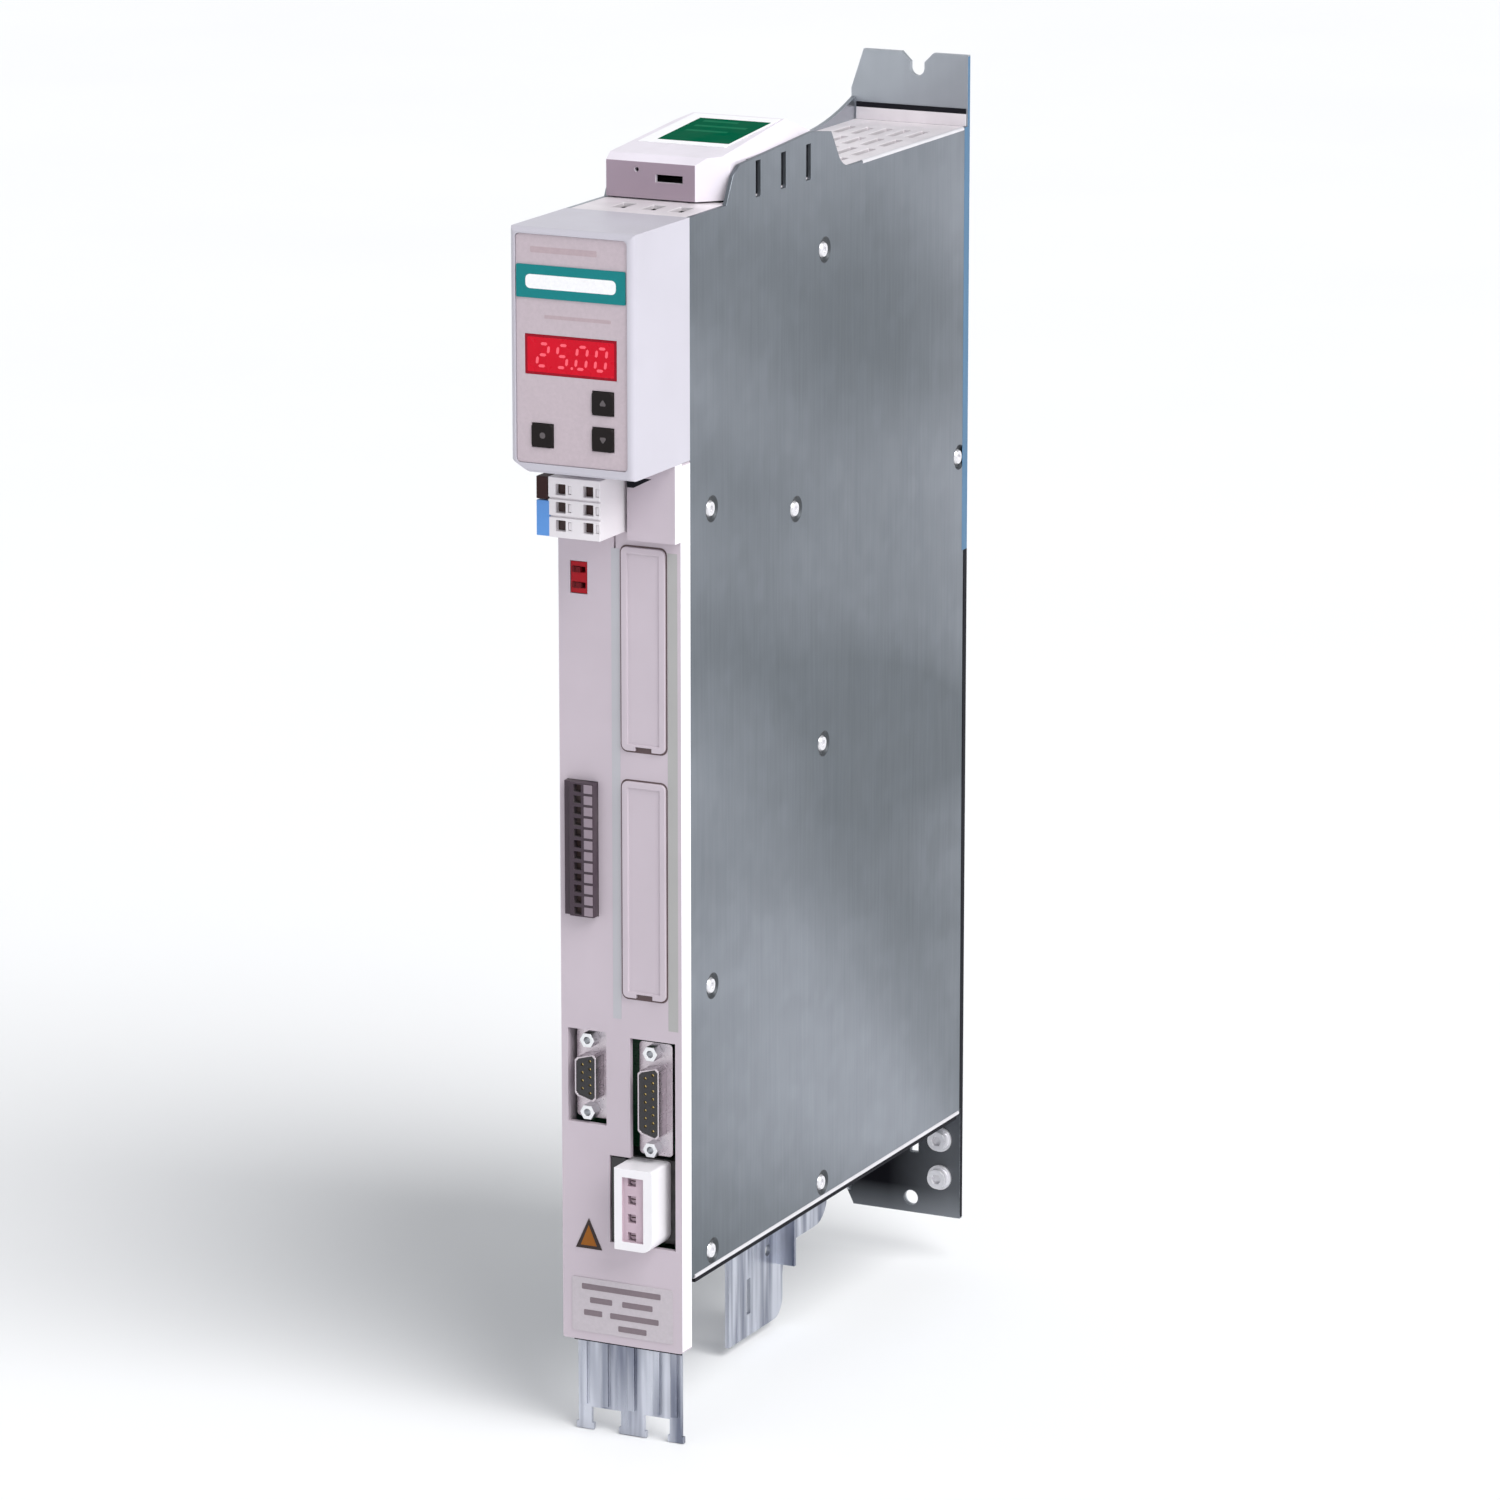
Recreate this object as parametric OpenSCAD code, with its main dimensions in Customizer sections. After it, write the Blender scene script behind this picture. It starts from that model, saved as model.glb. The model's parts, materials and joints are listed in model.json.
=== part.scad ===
// Slim servo drive for a cabinet wall, in millimetres.
// X runs across the drive, +Y into the wall and +Z up. The origin lies on the mounting plane,
// on the centre line, level with the bottom edge of the housing.

/* [Housing] */
// Width of the drive, which sets the pitch in a row of drives
body_w = 45; // [44:0.5:60]
// Height of the sheet-metal housing
body_h = 360; // [340:1:440]
// Depth of the sheet-metal housing, in front of the mounting plane
body_d = 220; // [212:1:270]
// Thickness of the side, top and bottom sheets
sheet_t = 1.5; // [1:0.1:1.8]
// Thickness of the rear plate
rear_t = 2; // [1.6:0.1:3]

/* [Fixing] */
// Distance from the upper fixing screw to the lower one
fixing_pitch = 414; // [404:1:500]
// Width of the upper notch and of the lower hole, for an M5 screw
fixing_d = 5.5; // [5:0.1:6.6]
// Sideways place of both fixings
fixing_x = 3; // [-4:0.5:6]
// Sheet left beyond each fixing's centre
fixing_edge = 5.5; // [4.5:0.5:8]

/* [Front] */
// Depth of the moulded front frame
frame_t = 7; // [6:0.5:9]
// How far the frame hangs below the housing
frame_drop = 24; // [16:1:28]
// Wall of the moulded parts
mould_t = 2; // [1.5:0.1:2.4]
// Height of the operator panel
panel_h = 80; // [78:1:104]
// Depth of the operator panel, in front of the housing
panel_d = 40; // [32:1:48]
// Size of a key cap
key_size = 7.6; // [6:0.2:9.2]
// Travel of a key
key_travel = 0.5; // [0.3:0.1:0.8]
// Gap round a key, a slider and a plug
play = 0.2; // [0.15:0.05:0.3]

/* [Plugs] */
// Pitch of the input and output terminals
io_pitch = 3.81; // [3.5:0.01:4.6]
// Side of a contact pin
pin_side = 1; // [0.8:0.1:1.2]

/* [DC bus] */
// Height of a bus bar
bar_h = 10; // [8:0.5:12]
// Thickness of a bus bar
bar_t = 3; // [2:0.5:4]
// Distance between bus bars
bar_pitch = 19.2; // [15:0.2:20]
// Diameter of the bus cover's hinge pin
hinge_d = 2.5; // [2:0.1:3]

/* [Cooling] */
// Side of the fan
fan_size = 40; // [32:1:40]
// Height of the fan
fan_h = 20; // [15:1:25]
// Depth of the heat sink, base and fins
sink_d = 90; // [80:1:96]
// Distance between fins
fin_pitch = 4.4; // [4:0.1:6]

/* [Shield plates] */
// How far the control shield hangs below the housing
comb_drop = 57.5; // [50:0.5:66]
// How far the motor shield hangs below the housing
shield_drop = 54; // [42:1:60]

/* [Hidden] */
$fn = 48;
half = body_w / 2;
inner = half - sheet_t;
front_y = -body_d;
face_y = front_y - frame_t;
panel_y = front_y - panel_d;
panel_z = body_h - panel_h;
fixing_top = body_h + fixing_pitch - 394.5;
fixing_low = fixing_top - fixing_pitch;
lug_top = fixing_top + fixing_edge;
lug_low = fixing_low - fixing_edge;
gusset_len = 46;                   // curved rise of the left wall towards the upper lug
gusset_rise = 8;
gusset_r = (pow(gusset_len, 2) + pow(gusset_rise, 2)) / (2 * gusset_rise);
seat = 0.3;                        // gap left between moulded and metal parts

// Boards, heat sink and fan
sink_rear = -12;                   // tips of the fins
sink_front = sink_rear - sink_d;   // face that carries the power module
sink_base = 7;
sink_z = [fan_h + 10, body_h - 30];
board_t = 1.6;
power_y = sink_front - 24;         // rear face of the power board
control_y = front_y + 8;           // front face of the control board
fan_y = -fan_size / 2 - 30;

// Cover screws: depth and height of each
screw_d = 3;
pillar_d = 6;
dimple_d = 9;
dimple_t = 0.9;
front_screw_y = front_y + 16;
mid_screw_y = sink_front - 16;
cover_points = [
    [mid_screw_y, body_h - 26],
    [front_screw_y, body_h - 99],
    [power_y - 14, body_h - 111],
    [mid_screw_y, 163],
    [-rear_t - dimple_d / 2 - 0.5, 243],
    [front_screw_y, 98.5],
    [mid_screw_y, 6],
    [front_screw_y, 6],
];

// DC bus bay on top: bars, cover and the side sheets' tabs
bay_y = [front_y + 27, front_y + 108];
bay_h = bar_h + 5;                 // height of the side sheets' tabs
bar_y = [for (i = [-1 : 1]) front_y + 70 + i * bar_pitch];
bar_z = body_h + 1;
slot_w = bar_t + 0.8;
cover_y = [front_y + 25, bay_y[1] - 3];
cover_x = inner - 0.4;
cover_t = 1.6;
cover_front_h = bar_h + 4.6;       // height of the cover over its front edge
cover_slope = 0.085;
hinge_y = bay_y[1];
hinge_z = body_h + 5;
knuckle_r = hinge_d / 2 + 1.5;
run = 0.05;                        // running clearance round the hinge pin and the fan shaft

// Front frame: columns and windows, each [x range, z range]
skin_y = face_y + mould_t;
supply_x = [-inner + 1.5, 4];
supply_z = [panel_z - 24, panel_z - 3];
dip_x = [-18, -12];
dip_z = [panel_z - 46.4, panel_z - 35.8];
io_x = [-19.8, -8.4];
io_n = 12;
io_z0 = 124.5;
io_z = [io_z0, io_z0 + io_n * io_pitch];
slot_a_z = [182.5, 251];
slot_b_z = [98, 172];
blank_x = [1, 17];
serial = [-12.9, 68.5];
encoder = [10.6, 62.5];
stop_x = [1.6, 15.8];
stop_z = [12.8, 41.2];
well_x = [-4.6, 20];

// D-shaped ports: length and height of the shell, and distance between its screws
serial_d = [16.3, 7.9, 25];
encoder_d = [24.6, 7.9, 33.3];
port_flange_t = 0.8;
port_y = face_y + 4.5;             // front of the port flanges
port_reach = 5.9;
jack_r = 1.2;

// Operator panel
face_in = 0.6;
face_t = 1.6;
face_front = panel_y + face_in;
face_back = face_front + face_t;
face_x = [-inner + 0.6, inner - 1];
face_z = [panel_z + 3, body_h - 2];
band_z = [body_h - 22.8, body_h - 12];
window_x = [-17.2, 16];
window_z = [body_h - 47.8, body_h - 34.6];
key_points = [
    [-10.9, body_h - 67.6],
    [11, body_h - 55.4],
    [11, body_h - 67.2],
];
keypad_y = face_back + 5;          // front of the panel board

// ---- helpers ----

// A box from three [low, high] ranges.
module block(x, y, z) {
    translate([x[0], y[0], z[0]]) cube([x[1] - x[0], y[1] - y[0], z[1] - z[0]]);
}

// An outline drawn in X and Z, made t thick, with its rear face at y.
module facing(y, t) {
    translate([0, y, 0]) rotate([90, 0, 0]) linear_extrude(t) children();
}

// An outline drawn in Y and Z, made t thick towards +X from x.
module across(x, t) {
    translate([x, 0, 0]) rotate([90, 0, 90]) linear_extrude(t) children();
}

// Points along an arc, from angle a to angle b.
function arc(cx, cy, r, a, b, n = 8) =
    [for (i = [0 : n]) [cx + r * cos(a + (b - a) * i / n), cy + r * sin(a + (b - a) * i / n)]];

// A rectangle from two ranges, with corners of radius r.
function rounded(x, z, r, n = 5) = concat(
    arc(x[1] - r, z[0] + r, r, -90, 0, n),
    arc(x[1] - r, z[1] - r, r, 0, 90, n),
    arc(x[0] + r, z[1] - r, r, 90, 180, n),
    arc(x[0] + r, z[0] + r, r, 180, 270, n));

// A range made wider by g at both ends.
function wider(v, g) = [v[0] - g, v[1] + g];

// The middle of a range.
function mid(v) = (v[0] + v[1]) / 2;

// A cylinder along Y from its rear end y, towards the front.
module peg(x, y, z, r, len) {
    translate([x, y, z]) rotate([90, 0, 0]) cylinder(r = r, h = len);
}

// ---- housing ----

module rear_plate() {
    notch = fixing_d / 2;
    slot_top = -7;
    color("#a9aeb4") difference() {
        facing(0, rear_t) polygon([
            [-half + 2.4, lug_low], [half, lug_low], [half, lug_top], [fixing_x + 6.2, lug_top],
            [fixing_x + notch, lug_top - 3.4], [fixing_x + notch, fixing_top],
            [fixing_x - notch, fixing_top], [fixing_x - notch, lug_top - 3.4],
            [fixing_x - 6.2, lug_top], [-half + 4.7, lug_top], [-half, lug_top - 14],
            [-half, lug_low + 5]]);
        peg(fixing_x, 1, fixing_top, notch, rear_t + 2);
        peg(fixing_x, 1, fixing_low, notch, rear_t + 2);
        for (p = earth_points) peg(p[0], 1, p[1], earth_r + run, rear_t + 2);
        for (x = [-7, 4.3]) block([x - 1.6, x + 1.6], [-rear_t - 1, 1], [slot_top - 10, slot_top]);
    }
}

// The tab that a side sheet raises beside the DC bus, with a slot for each bar.
module tab_outline() {
    polygon(concat(
        [[bay_y[0], body_h], [bay_y[1] + 14, body_h]],
        arc(bay_y[1] + 14, body_h + 12, 12, 270, 225),
        [[bay_y[1] - 1, body_h + bay_h - 1.5], [bay_y[1] - 16, body_h + bay_h + 0.5],
         [bay_y[0] + 10, body_h + bay_h - 3], [bay_y[0] + 5, body_h + bay_h - 6]]));
}

module bar_slots(x) {
    for (y = bar_y)
        block([x - 1, x + sheet_t + 1], [y - slot_w / 2, y + slot_w / 2],
              [body_h - 0.5, body_h + bar_h + 1.6]);
}

module left_wall() {
    color("#a3a9b0") difference() {
        across(-half, sheet_t) {
            translate([front_y, 0]) square([body_d - rear_t, body_h]);
            tab_outline();
            polygon(concat(arc(-rear_t - gusset_len, body_h + gusset_r, gusset_r, 270,
                               270 + asin(gusset_len / gusset_r), 8),
                           [[-rear_t, body_h]]));
            polygon([[-rear_t, 0], [-50, 0], [-42, -11], [-26, -22], [-7, -31.5], [-rear_t, -35]]);
        }
        bar_slots(-half);
    }
}

module side_cover() {
    color("#8f979f") difference() {
        union() {
            across(inner, sheet_t) {
                translate([front_y, 0]) square([body_d - rear_t, body_h]);
                tab_outline();
            }
            for (p = cover_points)
                translate([inner - dimple_t, p[0], p[1]]) rotate([0, 90, 0])
                    cylinder(r1 = dimple_d / 2 - 0.6, r2 = dimple_d / 2, h = dimple_t + 0.1);
        }
        for (p = cover_points) {
            translate([half - dimple_t, p[0], p[1]]) rotate([0, 90, 0])
                cylinder(r1 = dimple_d / 2 - 0.9, r2 = dimple_d / 2, h = dimple_t + 0.01);
            translate([inner - 3, p[0], p[1]]) rotate([0, 90, 0])
                cylinder(r = screw_d / 2 + run, h = 6);
        }
        bar_slots(inner);
    }
}

module top_plate() {
    well_half = inner - 2.8;
    color("#b4b8bc") difference() {
        block([-inner, inner], [front_y, -rear_t], [body_h - sheet_t, body_h]);
        block([-well_half, well_half], wider(bay_y, -4), [body_h - 3, body_h + 1]);
        for (x = [-14 : 7 : 14], y = [-26 : -22 : -92])
            block([x - 1.6, x + 1.6], [y - 8, y + 8], [body_h - 3, body_h + 1]);
        for (x = [-8, 3, 13])
            block([x - 2.5, x + 2.5], [front_y + 8, front_y + 18], [body_h - 3, body_h + 1]);
    }
}

module bottom_plate() {
    color("#a9aeb4") difference() {
        block([-inner, inner], [front_y, -rear_t], [0, sheet_t]);
        for (x = [-16 : 4 : 16])
            block([x - 1.3, x + 1.3], [fan_y - fan_size / 2 + 2, fan_y + fan_size / 2 - 2], [-1, 3]);
        block(wider(terminal_x, play), wider(terminal_y, play), [-1, 3]);
        for (p = shield_points)
            translate([p[0], p[1], -1]) cylinder(r = screw_d / 2 + run, h = 4);
    }
}

module cover_pillars() {
    color("silver") for (p = cover_points)
        difference() {
            translate([-inner, p[0], p[1]]) rotate([0, 90, 0])
                cylinder(d = pillar_d, h = 2 * inner - dimple_t);
            translate([inner - dimple_t - 9, p[0], p[1]]) rotate([0, 90, 0])
                cylinder(r = screw_d / 2, h = 10);
        }
}

module cover_screws() {
    head_r = 2.8;
    seat_x = half - dimple_t;
    color("#d8dbde") for (p = cover_points)
        translate([seat_x, p[0], p[1]]) rotate([0, 90, 0]) difference() {
            union() {
                cylinder(r1 = head_r, r2 = head_r - 0.5, h = dimple_t - 0.1);
                translate([0, 0, -8]) cylinder(r = screw_d / 2, h = 8.1);
            }
            translate([0, 0, 0.3]) cylinder(r = 1.2, h = 2, $fn = 6);
        }
}

// ---- front frame and what it holds ----

module window(x, z) {
    block(x, [face_y - 10, front_y + 1], z);
}

module front_frame() {
    outline = rounded([-half, half], [-frame_drop, panel_z], 0.8, 2);
    step_y = 4;
    color("#d3cfd0") difference() {
        union() {
            facing(front_y, frame_t) polygon(outline);
            block([5, half], [face_y - step_y, face_y + 1], [supply_z[0] - 2, panel_z]);
        }
        // hollow rear, apart from the ribs
        difference() {
            block([-half + mould_t, half - mould_t], [skin_y, front_y + 1],
                  [-frame_drop + mould_t, panel_z - mould_t]);
            for (z = [slot_b_z[0] - 4, (slot_a_z[0] + slot_b_z[1]) / 2, dip_z[0] - 6])
                block([-half, half], [skin_y - 1, front_y], [z - 0.8, z + 0.8]);
        }
        block(wider([-comb_half, comb_half], seat), [comb_y - seat, front_y + 1],
              [-frame_drop - 1, 0]);
        window(wider(supply_x, play), wider(supply_z, play));
        window(wider(dip_x, play), wider(dip_z, play));
        window(wider(io_x, play), wider(io_z, play));
        for (z = [slot_a_z, slot_b_z]) window(wider(blank_x, -1.2), wider(z, -1.2));
        window([serial[0] - 7.2, serial[0] + 7.2], [serial[1] - 16.2, serial[1] + 16.2]);
        window([encoder[0] - 7.4, well_x[1]], [stop_z[1] - 1, encoder[1] + 21.3]);
        window(well_x, wider(stop_z, 1));
        // groove between the two columns, and the sunk field of each option slot
        block([-2, -1.2], [face_y - 1, face_y + 0.8], [slot_b_z[0] - 6, supply_z[0] - 2]);
        for (z = [slot_a_z, slot_b_z])
            facing(face_y + 1, 2) polygon(rounded(wider(blank_x, play), wider(z, play), 2));
    }
}

// A snap-in blank over an option slot, with a finger dip at its foot.
module slot_blank(z) {
    color("#dedadb") difference() {
        union() {
            facing(face_y + 1, 2) polygon(rounded(blank_x, z, 2));
            for (e = [z[0] + 1.6, z[1] - 2.8])
                block([mid(blank_x) - 4, mid(blank_x) + 4], [face_y + 0.9, front_y - 1], [e, e + 1.2]);
        }
        block([blank_x[0] + 2.2, blank_x[1] - 2.2], [face_y - 2, face_y - 0.5],
              [z[0] + 2.2, z[1] - 2.2]);
        block([mid(blank_x) - 3, mid(blank_x) + 3], [face_y - 2, face_y], [z[0] - 1, z[0] + 1.4]);
    }
}

module slot_a_blank() {
    slot_blank(slot_a_z);
}

module slot_b_blank() {
    slot_blank(slot_b_z);
}

module amber_label() {
    color("#c98a1b") facing(face_y, 0.3) polygon([[-17.4, 8.4], [-7.6, 8.4], [-12.5, 19]]);
}

module name_label() {
    color("#b9b1b8") facing(face_y, 0.3) polygon(rounded([-19, 19], [-frame_drop + 3, -2], 0.8, 2));
}

// ---- operator panel ----

module panel_housing() {
    corner = 2.2;
    // the outer form, or the hollow g inside its sides and f behind its front
    module solid(g, f) {
        intersection() {
            facing(front_y, panel_d - f) polygon([
                [-half + 6.8, panel_z + g], [half - g, panel_z + g], [half - g, body_h - g],
                [-half + g, body_h - g], [-half + g, panel_z + 4 + g]]);
            translate([0, 0, panel_z - 1]) linear_extrude(panel_h + 2)
                polygon(concat(
                    [[half - g, front_y + 1], [-half + g, front_y + 1]],
                    arc(-half + g + corner, panel_y + f + corner, corner, 180, 270, 5),
                    arc(half - g - corner, panel_y + f + corner, corner, 270, 360, 5)));
            across(-half, body_w) polygon(concat(
                [[front_y + 1, panel_z - 1], [front_y + 1, body_h - g]],
                arc(panel_y + f + corner, body_h - g - corner, corner, 90, 180, 5),
                arc(panel_y + f + 1.2, panel_z + g + 1.2, 1.2, 180, 270, 3)));
        }
    }
    color("#dcd8da") difference() {
        solid(0, 0);
        difference() {
            solid(mould_t, mould_t + face_in + face_t);
            block([-half, half], [front_y - mould_t, front_y + 2], [panel_z, body_h]);
        }
        // seat of the face plate, and the holes behind it
        facing(face_back, 5) polygon(rounded(face_x, face_z, 1.5));
        block(wider(window_x, 1), [panel_y - 1, panel_y + 12], wider(window_z, 1));
        for (p = key_points)
            block([p[0] - key_size / 2 - 1, p[0] + key_size / 2 + 1], [panel_y - 1, panel_y + 12],
                  [p[1] - key_size / 2 - 1, p[1] + key_size / 2 + 1]);
        // cable passage to the control board
        block([-12, 12], [front_y - mould_t - 1, front_y + 3], [panel_z + 20, panel_z + 50]);
    }
}

module panel_face() {
    color("#c9c4c8") difference() {
        facing(face_back, face_t) polygon(rounded(wider(face_x, -0.1), wider(face_z, -0.1), 1.4));
        block(window_x, [panel_y - 1, face_back + 1], window_z);
        for (p = key_points) key_hole(p);
    }
}

module key_hole(p) {
    g = key_size / 2 + play;
    block([p[0] - g, p[0] + g], [panel_y - 1, face_back + 1], [p[1] - g, p[1] + g]);
}

module title_band() {
    color("#00837f") facing(face_front, 0.4)
        polygon(rounded([face_x[0] + 0.4, face_x[1] - 0.6], band_z, 0.5, 2));
}

module display_window() {
    color("#c8102e") facing(face_back, face_t - 0.1) polygon(rounded(window_x, window_z, 0.4, 2));
}

module display_module() {
    color("#301014") block(wider(window_x, -0.6), [face_back + 0.2, keypad_y], wider(window_z, -0.6));
}

module panel_board() {
    color("#2f6b3c") {
        block([-18, 18], [keypad_y, keypad_y + board_t], [panel_z + 7, body_h - 8]);
        for (p = key_points)
            block([p[0] - 3, p[0] + 3], [keypad_y - 1.8, keypad_y], [p[1] - 3, p[1] + 3]);
    }
}

// A key cap with a dished face, a collar behind the face plate and a stem over its switch.
module key_cap(p) {
    g = key_size / 2;
    stem_end = keypad_y - 1.8 - key_travel - 0.1;
    color("#2b2629") difference() {
        union() {
            facing(face_back + 1.4, 1.4 + face_t + face_in)
                polygon(rounded([p[0] - g, p[0] + g], [p[1] - g, p[1] + g], 1));
            block([p[0] - g - 0.6, p[0] + g + 0.6], [face_back + 0.15, face_back + 1.4],
                  [p[1] - g - 0.6, p[1] + g + 0.6]);
            peg(p[0], stem_end, p[1], 1.5, stem_end - face_back - 1);
        }
        translate([p[0], panel_y - 17.6, p[1]]) sphere(r = 18, $fn = 64);
    }
}

module key_left() {
    key_cap(key_points[0]);
}

module key_up() {
    key_cap(key_points[1]);
}

module key_down() {
    key_cap(key_points[2]);
}

// ---- switches, plugs and ports ----

dip_step = (dip_z[1] - dip_z[0]) / 2;
dip_throw = 1.6;
dip_slot = [1, 1.6];               // half height and half width of a slider's slot
module dip_housing() {
    color("#b3161c") difference() {
        block(dip_x, [face_y + 0.2, control_y], dip_z);
        for (i = [0, 1])
            block([mid(dip_x) - dip_slot[1] - dip_throw / 2, mid(dip_x) + dip_slot[1] + dip_throw / 2],
                  [face_y - 1, face_y + 3], dip_row(i, dip_slot[0]));
    }
}

function dip_row(i, g) = [dip_z[0] + (i + 0.5) * dip_step - g, dip_z[0] + (i + 0.5) * dip_step + g];

module dip_slider(i) {
    reach = dip_slot[1] + dip_throw / 2;
    color("#f2eeee") difference() {
        block([mid(dip_x) - reach + 0.05, mid(dip_x) + reach - dip_throw - 0.05],
              [face_y - 0.3, face_y + 2.9], dip_row(i, dip_slot[0] - play / 2));
        block([mid(dip_x) - reach + 1, mid(dip_x) - reach + 1.4], [face_y - 1, face_y + 0.1],
              dip_row(i, dip_slot[0] + 1));
    }
}

module dip_slider_upper() {
    dip_slider(1);
}

module dip_slider_lower() {
    dip_slider(0);
}

// Contact pins that stand forward from y, at points [x, z].
module pins(points, y, len) {
    for (p = points)
        block([p[0] - pin_side / 2, p[0] + pin_side / 2], [y - len, y + 0.01],
              [p[1] - pin_side / 2, p[1] + pin_side / 2]);
}

// The sockets that take those pins, one play wider all round and deeper.
module sockets(points, y, len) {
    g = pin_side / 2 + play;
    for (p = points)
        block([p[0] - g, p[0] + g], [y - len - 1, y + 1], [p[1] - g, p[1] + g]);
}

pin_len = 7;
io_seat = front_y - 1;             // where the plug's rear face meets its header
io_points = [for (i = [0 : io_n - 1]) [mid(io_x), io_z0 + (i + 0.5) * io_pitch]];
module io_header() {
    color("#3a3a3d") {
        block(wider(io_x, -0.4), [io_seat, control_y], wider(io_z, -0.4));
        pins(io_points, io_seat, pin_len);
    }
}

module io_plug() {
    front = face_y - 3.4;
    color("#55555a") difference() {
        block(io_x, [front, io_seat], io_z);
        sockets(io_points, io_seat, pin_len);
        block([io_x[0] - 1, io_x[0] + 2.6], [front - 1, front + 1.4], wider(io_z, 1));
        for (p = io_points) {
            block([p[0] - 1.6, p[0] + 1.2], [front - 1, front + 2.2], [p[1] - 1.3, p[1] + 1.3]);
            block([io_x[1] - 2.6, io_x[1] - 1], [front - 1, front + 1], [p[1] - 0.9, p[1] + 0.9]);
        }
    }
}

supply_seat = face_y + 1;
supply_rows = [for (i = [-1 : 1]) mid(supply_z) + i * 6];
supply_cols = [-10.5, -0.4];
supply_points = [for (x = supply_cols, z = supply_rows) [x, z]];
module supply_header() {
    color("#8f8b90") {
        block(wider(supply_x, -0.1), [supply_seat, control_y], wider(supply_z, -0.1));
        pins(supply_points, supply_seat, pin_len);
    }
}

module supply_plug() {
    reach = 22;
    front = supply_seat - reach;
    lever = 2.4;
    color("#e6e2e2") difference() {
        union() {
            block([supply_cols[0] - 4.6, supply_x[1] - 0.2], [front, supply_seat],
                  wider(supply_z, -0.5));
            block([supply_x[0] + 0.2, supply_cols[0] - 4.5], [front + 5, supply_seat],
                  wider(supply_z, -1.5));
        }
        sockets(supply_points, supply_seat, pin_len);
        for (p = supply_points) {
            block([p[0] - 1.9, p[0] + 1.7], [front - 1, front + 8], [p[1] - 1.8, p[1] + 1.8]);
            block([p[0] + 2.6, p[0] + 2.6 + lever / 2], [front - 1, front + 1.2],
                  [p[1] - 1.4, p[1] + 1.4]);
        }
        for (z = [supply_rows[0] + 3, supply_rows[1] + 3])
            block([supply_cols[0] - 5, supply_x[1] + 1], [front - 1, front + 0.8],
                  [z - 0.3, z + 0.3]);
    }
}

stop_seat = face_y + 5;
stop_n = 4;
stop_pitch = (stop_z[1] - stop_z[0] - 3) / stop_n;
stop_points = [for (i = [0 : stop_n - 1])
    [mid(stop_x), stop_z[0] + 1.5 + (i + 0.5) * stop_pitch]];
module stop_header() {
    color("#262428") difference() {
        union() {
            block([well_x[0] + 0.4, well_x[1] - 1.2], [stop_seat, control_y], wider(stop_z, 0.4));
            block([well_x[0] + 0.4, stop_x[0] - 0.6], [face_y + 0.6, stop_seat], wider(stop_z, 0.4));
            pins(stop_points, stop_seat, pin_len);
        }
        for (p = stop_points)
            block([well_x[0] + 2, stop_x[0] - 2.4], [face_y - 1, face_y + 3],
                  [p[1] - 1.5, p[1] + 1.5]);
    }
}

module stop_plug() {
    proud = 9;
    corner = 4;
    front = face_y - proud;
    color("#efedef") difference() {
        union() {
            facing(stop_seat, proud + 5) polygon(concat(
                [[stop_x[0], stop_z[0]]],
                arc(stop_x[1] - corner, stop_z[0] + corner, corner, 270, 360, 6),
                arc(stop_x[1] - 1, stop_z[1] - 1, 1, 0, 90, 2),
                [[stop_x[0], stop_z[1]]]));
        }
        sockets(stop_points, stop_seat, pin_len);
        block([stop_x[0] + 3, stop_x[1] - 3.4], [front - 1, front + 1], wider(stop_z, -3));
        for (p = stop_points)
            block([stop_x[0] + 4.6, stop_x[0] + 7.6], [front, front + 7], [p[1] - 1.5, p[1] + 1.5]);
    }
}

// The outline of a D-shaped shell standing on end, with its long side towards +X.
module d_outline(c, size, g = 0) {
    len = size[0] / 2 + g;
    wide = size[1] / 2 + g;
    lean = size[1] * tan(10);
    polygon([
        [c[0] + wide - 1, c[1] - len], [c[0] + wide, c[1] - len + 1],
        [c[0] + wide, c[1] + len - 1], [c[0] + wide - 1, c[1] + len],
        [c[0] - wide + 1, c[1] + len - lean], [c[0] - wide, c[1] + len - lean - 1],
        [c[0] - wide, c[1] - len + lean + 1], [c[0] - wide + 1, c[1] - len + lean]]);
}

module port_shell(c, size) {
    flange = [size[2] / 2 + 2.9, 6.2];
    color("#c9ccd0") difference() {
        union() {
            facing(port_y + port_flange_t, port_flange_t)
                polygon(rounded([c[0] - flange[1], c[0] + flange[1]],
                                [c[1] - flange[0], c[1] + flange[0]], 1.4, 4));
            facing(port_y + 0.1, port_reach + 0.1) d_outline(c, size);
        }
        facing(port_y + 2, port_reach + 4) d_outline(c, size, -0.5);
        for (s = [-1, 1])
            peg(c[0], port_y + 2, c[1] + s * size[2] / 2, 1.6, 4);
    }
}

// Two rows of contact holes; the long row is on the +X side.
function port_holes(c, long) = concat(
    [for (i = [0 : long - 1]) [c[0] + 1.42, c[1] + (i - (long - 1) / 2) * 2.77]],
    [for (i = [0 : long - 2]) [c[0] - 1.42, c[1] + (i - (long - 2) / 2) * 2.77]]);

module port_insert(c, size, long) {
    body = size[0] / 2 + 1;
    color("#1c1c1f") difference() {
        union() {
            facing(port_y + port_flange_t, port_reach + 0.4) d_outline(c, size, -0.5);
            block([c[0] - 5.2, c[0] + 5.2], [port_y + port_flange_t, control_y],
                  [c[1] - body, c[1] + body]);
        }
        for (p = port_holes(c, long)) peg(p[0], port_y + 1, p[1], 0.55, port_reach + 2);
    }
}

module serial_shell() {
    port_shell(serial, serial_d);
}

module serial_insert() {
    port_insert(serial, serial_d, 5);
}

module encoder_shell() {
    port_shell(encoder, encoder_d);
}

module encoder_insert() {
    port_insert(encoder, encoder_d, 8);
}

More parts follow.
